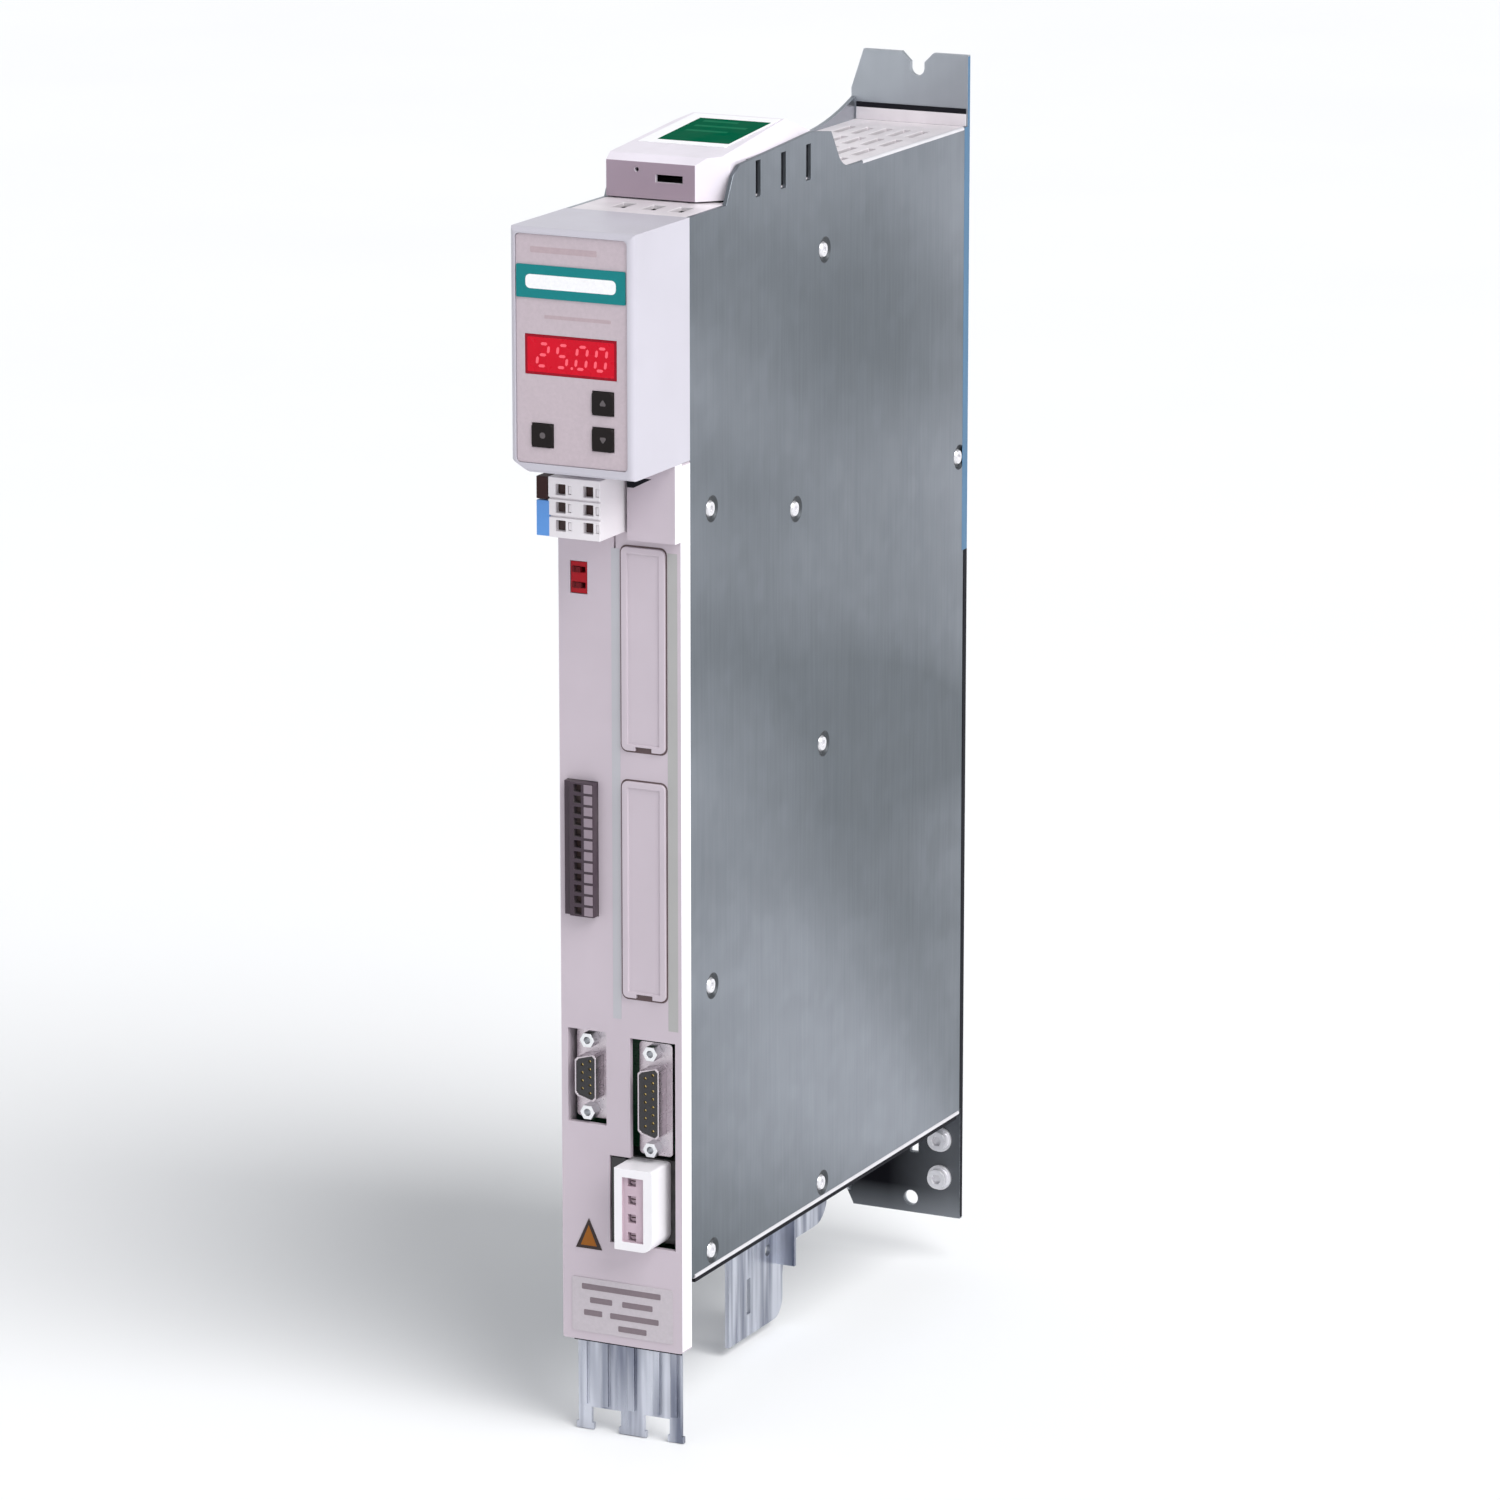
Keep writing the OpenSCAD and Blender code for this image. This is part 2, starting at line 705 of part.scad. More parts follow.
module jack_screws() {
    color("#d9dadc") for (port = [[serial, serial_d], [encoder, encoder_d]], s = [-1, 1]) {
        x = port[0][0];
        z = port[0][1] + s * port[1][2] / 2;
        difference() {
            union() {
                translate([x, port_y, z]) rotate([90, 0, 0]) cylinder(r = 2.75, h = 4.6, $fn = 6);
                peg(x, control_y - 1, z, 1.55, control_y - 1 - port_y + 0.1);
            }
            peg(x, port_y - 0.2, z, jack_r, 6);
        }
    }
}

// ---- shield plates, terminal and earth ----

shield_x = -6;
terminal_x = [-4, 17.5];
terminal_y = [mid_screw_y + 22, mid_screw_y + 38];
shield_front = mid_screw_y - 16;
comb_t = 1.5;
comb_y = front_y - 2;
comb_half = half - 3;
comb_gap_z = -comb_drop + 8;
shield_points = [
    [-11, front_y + 10], [11, front_y + 10],
    [-14, shield_front + 8], [-14, shield_front + 34],
];
earth_r = 2;
earth_points = [[14.6, -10.8], [14.6, -25.2]];

module control_shield() {
    teeth = [[-comb_half, -14.5], [-3.4, 5.4], [15, comb_half]];
    color("#b7bcc2") difference() {
        union() {
            block([-comb_half, comb_half], [comb_y, comb_y + comb_t], [comb_gap_z, 0]);
            block([-comb_half, comb_half], [comb_y, front_y + 22], [-comb_t, 0]);
            for (t = teeth) {
                block(t, [comb_y, comb_y + comb_t], [-comb_drop, comb_gap_z]);
                block(wider(t, 0.8), [comb_y, comb_y + comb_t], [-comb_drop, -comb_drop + 2.4]);
            }
            for (x = [-17, -9, 1, 10.5, 17])
                block([x - 1.2, x + 1.2], [comb_y - 1, comb_y + 0.1],
                      [comb_gap_z + 1, -frame_drop - 1]);
        }
        for (i = [0, 1])
            translate([shield_points[i][0], shield_points[i][1], -comb_t - 1])
                cylinder(r = screw_d / 2 + run, h = 4);
    }
}

module motor_shield() {
    y = shield_front;
    low = -shield_drop;
    color("#aeb3ba") difference() {
        union() {
            across(shield_x - comb_t, comb_t) polygon(concat(
                [[y, 0], [y, low], [y + 34, low]],
                arc(y + 36, low + 7, 7, 280, 360, 6),
                arc(y + 53, low + 15, 10, 180, 95, 6),
                [[y + 68, low + 25]],
                arc(y + 70, low + 35, 10, 280, 360, 6),
                [[y + 80, 0]]));
            block([-17.5, shield_x - comb_t], [y + 2, y + 40], [-comb_t, 0]);
            block([shield_x, shield_x + 7], [y + 38, y + 39.5], [low + 20, -3]);
        }
        block([shield_x - 3, shield_x + 2], [y + 14, y + 17.2], [low + 8, low + 21]);
        translate([shield_x - 3, y + 31, low + 27]) rotate([0, 90, 0]) cylinder(r = 2.1, h = 5);
        for (i = [2, 3])
            translate([shield_points[i][0], shield_points[i][1], -comb_t - 1])
                cylinder(r = screw_d / 2 + run, h = 4);
    }
}

module shield_screws() {
    color("#d8dbde") for (p = shield_points)
        translate([p[0], p[1], -comb_t]) difference() {
            union() {
                translate([0, 0, -2]) cylinder(r1 = 2.3, r2 = 2.8, h = 2);
                cylinder(r = screw_d / 2, h = 4);
            }
            translate([0, 0, -3]) cylinder(r = 1.2, h = 2, $fn = 6);
        }
}

module motor_terminal() {
    way = (terminal_x[1] - terminal_x[0]) / 4;
    color("#2e6e4a") difference() {
        block(terminal_x, terminal_y, [-1.5, 16]);
        for (i = [0 : 3]) {
            x = terminal_x[0] + (i + 0.5) * way;
            translate([x, terminal_y[0] + 5, -2]) cylinder(r = 1.8, h = 10);
            block([x - 1.4, x + 1.4], [terminal_y[1] - 5, terminal_y[1] - 2], [-2, 5]);
        }
    }
}

module earth_screws() {
    color("#dfe1e4") for (p = earth_points) difference() {
        union() {
            peg(p[0], -rear_t, p[1], 4.6, 1);
            peg(p[0], -rear_t - 1, p[1], 3.6, 2.6);
            peg(p[0], -0.2, p[1], earth_r, rear_t + 1);
        }
        translate([p[0], -rear_t - 2, p[1]]) rotate([90, 0, 0]) cylinder(r = 1.9, h = 3, $fn = 6);
    }
}

// ---- DC bus ----

base_x = inner - 6;
groove_top = bar_z + 4;
module bus_base() {
    ear = 4;
    color("#2a2a2e") difference() {
        union() {
            block([-base_x, base_x], [bar_y[0] - 7, bar_y[2] + 7], [body_h - 16, groove_top]);
            for (s = [-1, 1]) {
                block([s * (base_x - ear / 2) - ear / 2, s * (base_x - ear / 2) + ear / 2],
                      [bar_y[2] + 5, hinge_y], [body_h + seat, hinge_z - 1.2]);
                translate([s * (base_x - ear / 2) - ear / 2, hinge_y, hinge_z])
                    rotate([0, 90, 0]) cylinder(r = knuckle_r, h = ear);
            }
        }
        for (y = bar_y)
            block([-base_x - 1, base_x + 1], [y - bar_t / 2, y + bar_t / 2], [bar_z, groove_top + 1]);
        for (y = bar_y)
            block([-clamp_x, clamp_x], [y - clamp_y, y + clamp_y], [bar_z - 3, groove_top + 1]);
        translate([-base_x - 1, hinge_y, hinge_z]) rotate([0, 90, 0])
            cylinder(r = hinge_d / 2, h = 2 * base_x + 2);
    }
}

module bus_bar(y) {
    reach = cover_x - cover_t - 0.4;
    color("#b87443") block([-reach, reach], [y - bar_t / 2, y + bar_t / 2],
                           [bar_z, bar_z + bar_h]);
}

module bus_bar_front() {
    bus_bar(bar_y[0]);
}

module bus_bar_middle() {
    bus_bar(bar_y[1]);
}

module bus_bar_rear() {
    bus_bar(bar_y[2]);
}

// A brass stirrup round each bar, and the screw that presses the bar down.
clamp_x = 4;
clamp_y = bar_t / 2 + 1.5;
clamp_top = bar_z + bar_h + 1.8;
module bus_clamps() {
    color("#c5a253") for (y = bar_y) difference() {
        block([-clamp_x, clamp_x], [y - clamp_y, y + clamp_y], [bar_z - 3, clamp_top]);
        block([-clamp_x - 1, clamp_x + 1], [y - bar_t / 2, y + bar_t / 2],
              [bar_z - 1.6, bar_z + bar_h + 0.2]);
        translate([0, y, bar_z]) cylinder(r = 1.5 + run, h = bar_h + 4);
    }
}

module bus_screws() {
    color("#d3d5d8") for (y = bar_y) difference() {
        union() {
            translate([0, y, bar_z + bar_h]) cylinder(r = 1.5, h = 2.6);
            translate([0, y, clamp_top]) cylinder(r = 2.6, h = 1.6);
        }
        block([-3, 3], [y - 0.35, y + 0.35], [clamp_top + 0.8, clamp_top + 3]);
    }
}

function roof_z(y) = body_h + cover_front_h + (y - cover_y[0]) * cover_slope;

module bus_cover() {
    skirt = body_h + 0.6;
    roof_end = cover_y[1] - 18;
    module solid(g) {
        intersection() {
            across(-cover_x + g, 2 * (cover_x - g)) polygon([
                [cover_y[0] + g, skirt - (g > 0 ? 5 : 0)], [cover_y[1] - g, skirt - (g > 0 ? 5 : 0)],
                [cover_y[1] - g, body_h + bar_h + 1 - g], [roof_end, roof_z(roof_end) - g],
                [cover_y[0] + 3, roof_z(cover_y[0] + 3) - g],
                [cover_y[0] + g, body_h + cover_front_h - 2 - g]]);
            facing(cover_y[1], cover_y[1] - cover_y[0]) polygon([
                [-cover_x + g, skirt - 5], [cover_x - g, skirt - 5],
                [cover_x - g, body_h + bar_h + 3 - g],
                [cover_x - 6, roof_z(roof_end) - g], [-cover_x + 1 + g, roof_z(roof_end) - g],
                [-cover_x + g, roof_z(roof_end) - 1 - g]]);
            translate([0, 0, skirt - 6]) linear_extrude(40) polygon([
                [-cover_x + g, cover_y[0] + g], [cover_x - 8.6, cover_y[0] + g],
                [cover_x - g, cover_y[0] + 8.6 + g], [cover_x - g, cover_y[1] - g],
                [-cover_x + g, cover_y[1] - g]]);
        }
    }
    color("#eceaee") difference() {
        union() {
            difference() {
                solid(0);
                solid(cover_t);
            }
            // hinge knuckles, inboard of the base's ears
            for (s = [-1, 1]) {
                translate([s * 8.5 - 2, hinge_y, hinge_z]) rotate([0, 90, 0])
                    cylinder(r = knuckle_r, h = 4);
                block([s * 8.5 - 2, s * 8.5 + 2], [cover_y[1] - cover_t, hinge_y],
                      [hinge_z, hinge_z + knuckle_r - 0.3]);
            }
        }
        // room for the ears and the top sheet as the cover swings
        for (s = [-1, 1])
            block([s * (base_x - 2) - 2.6, s * (base_x - 2) + 2.6],
                  [cover_y[1] - cover_t - 1, cover_y[1] + 1], [skirt - 1, hinge_z + knuckle_r + 0.6]);
        translate([-cover_x, hinge_y, hinge_z]) rotate([0, 90, 0])
            cylinder(r = hinge_d / 2 + run, h = 2 * cover_x);
        // release slot and sight hole
        block([-2.5, 7.5], [cover_y[0] - 1, cover_y[0] + 4], [body_h + 6.2, body_h + 8.8]);
        peg(-9.4, cover_y[0] + 4, body_h + 10, 0.8, 6);
    }
}

module hinge_pin() {
    color("#caccd0") translate([-base_x, hinge_y, hinge_z]) rotate([0, 90, 0])
        cylinder(r = hinge_d / 2, h = 2 * base_x);
}

module bus_label() {
    y = [cover_y[0] + 18, cover_y[1] - 20];
    color("#0c5c33") across(-18, 32) polygon([
        [y[0], roof_z(y[0])], [y[1], roof_z(y[1])], [y[1], roof_z(y[1]) + 0.3],
        [y[0], roof_z(y[0]) + 0.3]]);
}

// ---- inside ----

module heat_sink() {
    wide = inner - 1.2;
    fins = floor((2 * wide - 2) / fin_pitch);
    color("#b9bcc0") translate([0, 0, sink_z[0]]) linear_extrude(sink_z[1] - sink_z[0]) {
        translate([-wide, sink_front]) square([2 * wide, sink_base]);
        for (i = [0 : fins])
            translate([(i - fins / 2) * fin_pitch - 0.7, sink_front + sink_base - 0.1])
                square([1.4, sink_d - sink_base + 0.1]);
    }
}

module_z = [180, 262];
module power_module() {
    color("#3b3b40") {
        block([-16, 16], [sink_front - 17, sink_front], module_z);
        for (x = [-13, 13], z = [module_z[0] + 6 : 10 : module_z[1] - 6])
            block([x - 0.5, x + 0.5], [power_y, sink_front - 17], [z - 0.5, z + 0.5]);
    }
}

module board_spacers() {
    color("#c8a24a") for (x = [-15, 15], z = [sink_z[0] + 12, sink_z[1] - 22])
        translate([x, sink_front, z]) rotate([90, 0, 0])
            cylinder(r = 2.9, h = sink_front - power_y, $fn = 6);
}

module power_board() {
    color("#2f6b3c") {
        block([-inner + 1.5, inner - 1.5], [power_y - board_t, power_y], [20, body_h - 20]);
        for (x = [-9, 9]) block([x - 7, x + 7], [power_y - board_t - 15, power_y - board_t], [70, 90]);
    }
}

module control_board() {
    color("#27603a") block([-inner + 1.5, inner - 1.5], [control_y, control_y + board_t],
                           [3, body_h - 6]);
}

module capacitors() {
    r = 16;
    color("#2c4a7c") for (z = [body_h - 75, body_h - 40])
        peg(0, power_y - board_t, z, r, 52);
}

module transformer() {
    z = [200, 232];
    core = [power_y - board_t - 26, power_y - board_t];
    color("#7a6a3a") {
        block([-14, 14], core, [z[0], z[0] + 7]);
        block([-14, 14], core, [z[1] - 7, z[1]]);
        block([-10, 10], [core[0] + 4, core[1] - 4], [z[0] + 7, z[1] - 7]);
    }
}

module ribbon_cable() {
    z = [130, 131.2];
    color("#9a9da3") block([-11, 11], [control_y + board_t, power_y - board_t], z);
}

fan_z = sheet_t + 0.5;
fan_bore = fan_size / 2 - 1;
hub_r = 9;
shaft_r = 1;
module fan_frame() {
    base = fan_z + fan_h - 3;
    color("#232327") translate([0, fan_y, 0]) difference() {
        union() {
            difference() {
                block([-fan_size / 2, fan_size / 2], [-fan_size / 2, fan_size / 2],
                      [fan_z, fan_z + fan_h]);
                translate([0, 0, fan_z - 1]) cylinder(r = fan_bore, h = fan_h + 2);
            }
            translate([0, 0, base]) cylinder(r = hub_r, h = 3);
            for (a = [45 : 90 : 315]) rotate([0, 0, a])
                block([hub_r - 1, fan_bore + 1], [-1, 1], [base, base + 3]);
        }
        translate([0, 0, base - 1]) cylinder(r = shaft_r + run, h = 5);
        for (x = [-1, 1], y = [-1, 1])
            translate([x * (fan_size / 2 - 4), y * (fan_size / 2 - 4), fan_z - 1])
                cylinder(r = 1.7, h = fan_h + 2);
    }
}

module fan_rotor() {
    top = fan_z + fan_h - 3.6;
    low = fan_z + 1;
    color("#1b1b1e") translate([0, fan_y, 0]) {
        translate([0, 0, low]) cylinder(r = hub_r, h = top - low);
        translate([0, 0, top - 1]) cylinder(r = shaft_r, h = 3.6);
        intersection() {
            for (a = [0 : 360 / 7 : 359]) rotate([0, 0, a])
                translate([0, 0, (low + top) / 2]) rotate([38, 0, 0])
                    block([hub_r - 1, fan_bore], [-7.5, 7.5], [-0.6, 0.6]);
            translate([0, 0, low + 0.5]) cylinder(r = fan_bore - 0.8, h = top - low - 1);
        }
    }
}

// ---- the assembly ----

rear_plate();
left_wall();
side_cover();
top_plate();
bottom_plate();
cover_pillars();
cover_screws();
front_frame();
slot_a_blank();
slot_b_blank();
panel_housing();
panel_face();
title_band();
display_window();
display_module();
panel_board();
key_left();
key_up();
key_down();
dip_housing();
dip_slider_upper();
dip_slider_lower();
io_header();
io_plug();
supply_header();
supply_plug();
stop_header();
stop_plug();
serial_shell();
serial_insert();
encoder_shell();
encoder_insert();
jack_screws();
amber_label();
name_label();
control_shield();
motor_shield();
shield_screws();
motor_terminal();
earth_screws();
bus_base();
bus_bar_front();
bus_bar_middle();
bus_bar_rear();
bus_clamps();
bus_screws();
bus_cover();
hinge_pin();
bus_label();
heat_sink();
power_module();
board_spacers();
power_board();
control_board();
capacitors();
transformer();
fan_frame();
fan_rotor();
ribbon_cable();
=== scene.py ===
"""Looks of a slim servo drive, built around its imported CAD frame.

Run as a script: it makes every visible piece, the stage and the camera.
"""

import json
import math
import random

import bmesh
import bpy
from mathutils import Matrix, Vector


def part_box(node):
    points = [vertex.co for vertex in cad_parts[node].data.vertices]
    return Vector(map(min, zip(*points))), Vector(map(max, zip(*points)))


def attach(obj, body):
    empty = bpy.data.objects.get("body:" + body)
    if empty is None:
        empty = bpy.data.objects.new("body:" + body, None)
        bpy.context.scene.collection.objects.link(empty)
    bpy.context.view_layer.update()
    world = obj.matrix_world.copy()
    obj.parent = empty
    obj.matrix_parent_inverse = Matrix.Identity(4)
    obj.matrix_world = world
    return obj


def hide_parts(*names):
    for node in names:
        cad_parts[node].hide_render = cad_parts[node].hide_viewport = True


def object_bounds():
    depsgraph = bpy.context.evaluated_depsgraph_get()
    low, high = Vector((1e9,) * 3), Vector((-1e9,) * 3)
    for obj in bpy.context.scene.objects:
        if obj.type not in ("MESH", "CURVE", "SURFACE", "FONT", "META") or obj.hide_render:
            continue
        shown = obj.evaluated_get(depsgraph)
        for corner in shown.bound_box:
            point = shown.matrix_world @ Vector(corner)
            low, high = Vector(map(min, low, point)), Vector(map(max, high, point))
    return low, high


bl_info = {
    "name": "Slim servo drive",
    "version": (1, 0, 0),
    "blender": (4, 5, 0),
    "location": "3D View > Sidebar > Servo drive",
    "description": "Builds a slim servo drive with moulded, sheet-metal and printed finishes",
    "category": "Object",
}

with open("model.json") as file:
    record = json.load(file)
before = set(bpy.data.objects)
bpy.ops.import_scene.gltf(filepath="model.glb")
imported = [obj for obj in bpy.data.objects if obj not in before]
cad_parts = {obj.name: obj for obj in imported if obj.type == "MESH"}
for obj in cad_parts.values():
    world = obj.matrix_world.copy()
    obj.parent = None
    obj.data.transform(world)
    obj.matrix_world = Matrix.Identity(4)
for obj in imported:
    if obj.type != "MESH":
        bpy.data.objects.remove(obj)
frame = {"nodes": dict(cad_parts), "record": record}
CAD_BOX = [list(corner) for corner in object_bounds()]
MM = 0.001
SAME_PLACE = 0.01 * MM  # an edge this near a plane lies on it
WELD = 0.002 * MM  # vertices this close become one
CREASE = math.radians(32)  # edges that turn more than this stay sharp and are rounded off
BODY_OF = {
    node: body
    for body, nodes in frame["record"]["behaviour"]["bodies"].items()
    for node in nodes
}


# ---- settings ----

def tint(name, description, default):
    """A colour that the user can change."""
    return bpy.props.FloatVectorProperty(
        name=name, description=description, default=default, size=3, min=0, max=1,
        subtype="COLOR")


def length(name, description, default):
    """A small length in metres."""
    return bpy.props.FloatProperty(
        name=name, description=description, default=default, min=0, max=10, precision=5,
        unit="LENGTH", subtype="DISTANCE")


class DriveColours(bpy.types.PropertyGroup):
    """Base colours of the drive's finishes."""

    sheet: tint("Side sheet", "Galvanised sheet of the side cover", (0.215, 0.235, 0.258))
    zinc: tint("Zinc parts", "Lugs, shield plates and the other sheets", (0.44, 0.47, 0.51))
    steel: tint("Bright steel", "Screws and port shells", (0.86, 0.87, 0.89))
    frame: tint("Front frame", "Moulded front frame and slot blanks", (0.53, 0.46, 0.515))
    panel: tint("Panel housing", "Moulded housing of the operator panel", (0.52, 0.50, 0.56))
    face: tint("Panel face", "Foil on the operator panel", (0.52, 0.44, 0.48))
    hood: tint("Bus cover", "Moulded cover of the DC bus", (0.78, 0.73, 0.80))
    band: tint("Title band", "Band across the operator panel", (0.0, 0.20, 0.21))
    display: tint("Display", "Tinted window behind the figures", (0.62, 0.0, 0.016))
    key: tint("Keys", "Rubber keys", (0.009, 0.006, 0.006))
    amber: tint("Amber label", "Triangular label low on the frame", (0.28, 0.09, 0.005))
    green: tint("Bus label", "Label on the bus cover", (0.0, 0.095, 0.045))


class DriveFinish(bpy.types.PropertyGroup):
    """Sizes of the fine detail."""

    mould_edge: length("Moulded edge", "Rounding of moulded edges", 0.35 * MM)
    sheet_edge: length("Sheet edge", "Rounding of cut sheet edges", 0.18 * MM)
    fold_edge: length("Folded edge", "Rounding of the side cover's folded edges", 1.1 * MM)
    panel_corner: length("Panel corner", "Rounding of the panel's right front corner",
                         2.3 * MM)
    fine_edge: length("Fine edge", "Rounding of small parts", 0.12 * MM)


class DriveView(bpy.types.PropertyGroup):
    """Where the camera stands and how the stage is lit."""

    place: bpy.props.FloatVectorProperty(
        name="Camera", description="Where the camera stands", size=3, unit="LENGTH",
        subtype="TRANSLATION", default=(1.0265, -2.2304, 0.7291))
    turn: bpy.props.FloatProperty(
        name="Turn", description="How far the camera looks to its left of straight back",
        default=math.radians(26.04), unit="ROTATION", subtype="ANGLE")
    dip: bpy.props.FloatProperty(
        name="Dip", description="How far the camera looks down",
        default=math.radians(13.66), unit="ROTATION", subtype="ANGLE")
    lens: bpy.props.FloatProperty(
        name="Lens", description="Focal length in millimetres on a 36 mm sensor", default=168.7,
        min=20, max=400)


# ---- shader helpers ----

class Graph:
    """Adds nodes to a tree and wires them up."""

    def __init__(self, tree):
        self.tree = tree
        self.column = 0

    def add(self, kind, inputs=None, **settings):
        """A node with its inputs fed and its settings made."""
        node = self.tree.nodes.new(kind)
        for name, value in settings.items():
            setattr(node, name, value)
        for name, value in (inputs or {}).items():
            self.feed(node.inputs[name], value)
        self.column += 1
        node.location = (self.column * 180, -(self.column % 4) * 160)
        return node

    def feed(self, socket, value):
        """Links a socket, or gives it a constant."""
        if isinstance(value, bpy.types.NodeSocket):
            self.tree.links.new(value, socket)
        else:
            socket.default_value = value

    def maths(self, operation, first, second=0.0, clamp=False):
        """One sum or product."""
        node = self.add("ShaderNodeMath", {0: first, 1: second}, operation=operation,
                        use_clamp=clamp)
        return node.outputs[0]

    def blend(self, factor, first, second, mode="MIX"):
        """Two colours mixed."""
        node = self.add("ShaderNodeMix", {0: factor, 6: first, 7: second}, data_type="RGBA",
                        blend_type=mode)
        return node.outputs[2]

    def stretch(self, value, low, high, to_low=0.0, to_high=1.0):
        """A value moved from one range to another, and held inside it."""
        node = self.add("ShaderNodeMapRange", {0: value, 1: low, 2: high, 3: to_low, 4: to_high},
                        clamp=True)
        return node.outputs[0]

    def noise(self, vector, scale, detail=3.0, roughness=0.5):
        """Soft noise between 0 and 1."""
        node = self.add("ShaderNodeTexNoise", {"Vector": vector, "Scale": scale, "Detail": detail,
                                               "Roughness": roughness})
        return node.outputs[0]

    def place(self):
        """The point on the surface, in the piece's own metres."""
        return self.add("ShaderNodeTexCoord").outputs["Object"]


def shader_group(name, inputs, outputs):
    """A new node group, its graph, its input sockets and its output node."""
    tree = bpy.data.node_groups.new(name, "ShaderNodeTree")
    for label, default in inputs:
        socket = tree.interface.new_socket(label, in_out="INPUT", socket_type="NodeSocketFloat")
        socket.default_value = default
    for label in outputs:
        tree.interface.new_socket(label, in_out="OUTPUT", socket_type="NodeSocketFloat")
    graph = Graph(tree)
    return graph, graph.add("NodeGroupInput").outputs, graph.add("NodeGroupOutput").inputs


def moulded_grain():
    """Fine spark-eroded texture with a slow drift in tone."""
    graph, given, out = shader_group("Moulded grain", [("Scale", 2600.0)], ["Height", "Tone"])
    place = graph.place()
    graph.feed(out["Height"], graph.noise(place, given["Scale"], 4.0, 0.6))
    graph.feed(out["Tone"], graph.noise(place, 38.0, 3.0))


def rubbed_edges_and_sheen():
    """Mask of rubbed edges that are also painted highlights along edges, broken up by noise."""
    graph, given, out = shader_group(
        "Rubbed edges and sheen", [("Radius", 0.0006), ("Amount", 0.5)], ["Mask"])
    soft = graph.add("ShaderNodeBevel", {"Radius": given["Radius"]}, samples=4).outputs[0]
    flat = graph.add("ShaderNodeNewGeometry").outputs["Normal"]
    same = graph.add("ShaderNodeVectorMath", {0: soft, 1: flat}, operation="DOT_PRODUCT")
    edge = graph.stretch(same.outputs["Value"], 0.985, 0.80)
    speck = graph.stretch(graph.noise(graph.place(), 420.0, 5.0, 0.65), 0.38, 0.62)
    graph.feed(out["Mask"], graph.maths(
        "MULTIPLY", graph.maths("MULTIPLY", edge, speck), given["Amount"], clamp=True))


def dust_and_corner_shade():
    """Mask of dust on ledges and in corners, with painted shade in the corners."""
    graph, given, out = shader_group("Dust and corner shade", [("Amount", 0.3)], ["Mask"])
    # Ambient occlusion finds the corners; their darker colour is painted shade as well as dust.
    open_sky = graph.add("ShaderNodeAmbientOcclusion", {"Distance": 0.006}, samples=6)
    corner = graph.stretch(open_sky.outputs["AO"], 0.95, 0.35)
    up = graph.add("ShaderNodeSeparateXYZ", {
        0: graph.add("ShaderNodeNewGeometry").outputs["Normal"]}).outputs["Z"]
    ledge = graph.stretch(up, 0.3, 1.0, 0.0, 0.35)
    patch = graph.stretch(graph.noise(graph.place(), 95.0, 5.0, 0.6), 0.3, 0.75)
    both = graph.maths("MULTIPLY", graph.maths("ADD", corner, ledge), patch)
    graph.feed(out["Mask"], graph.maths("MULTIPLY", both, given["Amount"], clamp=True))


def rolled_sheet():
    """Rolled grain and faint zinc spangle."""
    graph, given, out = shader_group(
        "Rolled sheet", [("Grain", 700.0), ("Spangle", 130.0)], ["Height", "Tone", "Streak"])
    place = graph.place()
    squeeze = graph.add("ShaderNodeMapping", {"Vector": place, "Scale": (1.0, 1.0, 0.035)})
    streak = graph.noise(squeeze.outputs[0], given["Grain"], 4.0, 0.65)
    cells = graph.add("ShaderNodeTexVoronoi", {"Vector": place, "Scale": given["Spangle"]},
                      feature="SMOOTH_F1")
    cell_tone = graph.add("ShaderNodeSeparateColor", {0: cells.outputs["Color"]}).outputs[0]
    drift = graph.noise(place, 9.0, 3.0)
    graph.feed(out["Height"], graph.maths("ADD", streak, graph.maths(
        "MULTIPLY", graph.noise(place, 1500.0, 3.0), 0.6)))
    graph.feed(out["Tone"], graph.maths("ADD", graph.maths("MULTIPLY", cell_tone, 0.45),
                                        graph.maths("MULTIPLY", drift, 0.55)))
    graph.feed(out["Streak"], streak)


def start_material(name):
    """An empty material: its graph and its shader."""
    material = bpy.data.materials.new(name)
    material.use_nodes = True
    material.node_tree.nodes.clear()
    graph = Graph(material.node_tree)
    shader = graph.add("ShaderNodeBsdfPrincipled")
    surface = graph.add("ShaderNodeOutputMaterial")
    graph.feed(surface.inputs["Surface"], shader.outputs["BSDF"])
    return material, graph, shader


def group_node(graph, name, **inputs):
    """A node group placed in a material."""
    node = graph.add("ShaderNodeGroup", node_tree=bpy.data.node_groups[name])
    for label, value in inputs.items():
        graph.feed(node.inputs[label], value)
    return node.outputs


def shade(colour, factor):
    """A colour made lighter or darker, with its alpha."""
    return tuple(min(1.0, c * factor) for c in colour[:3]) + (1.0,)


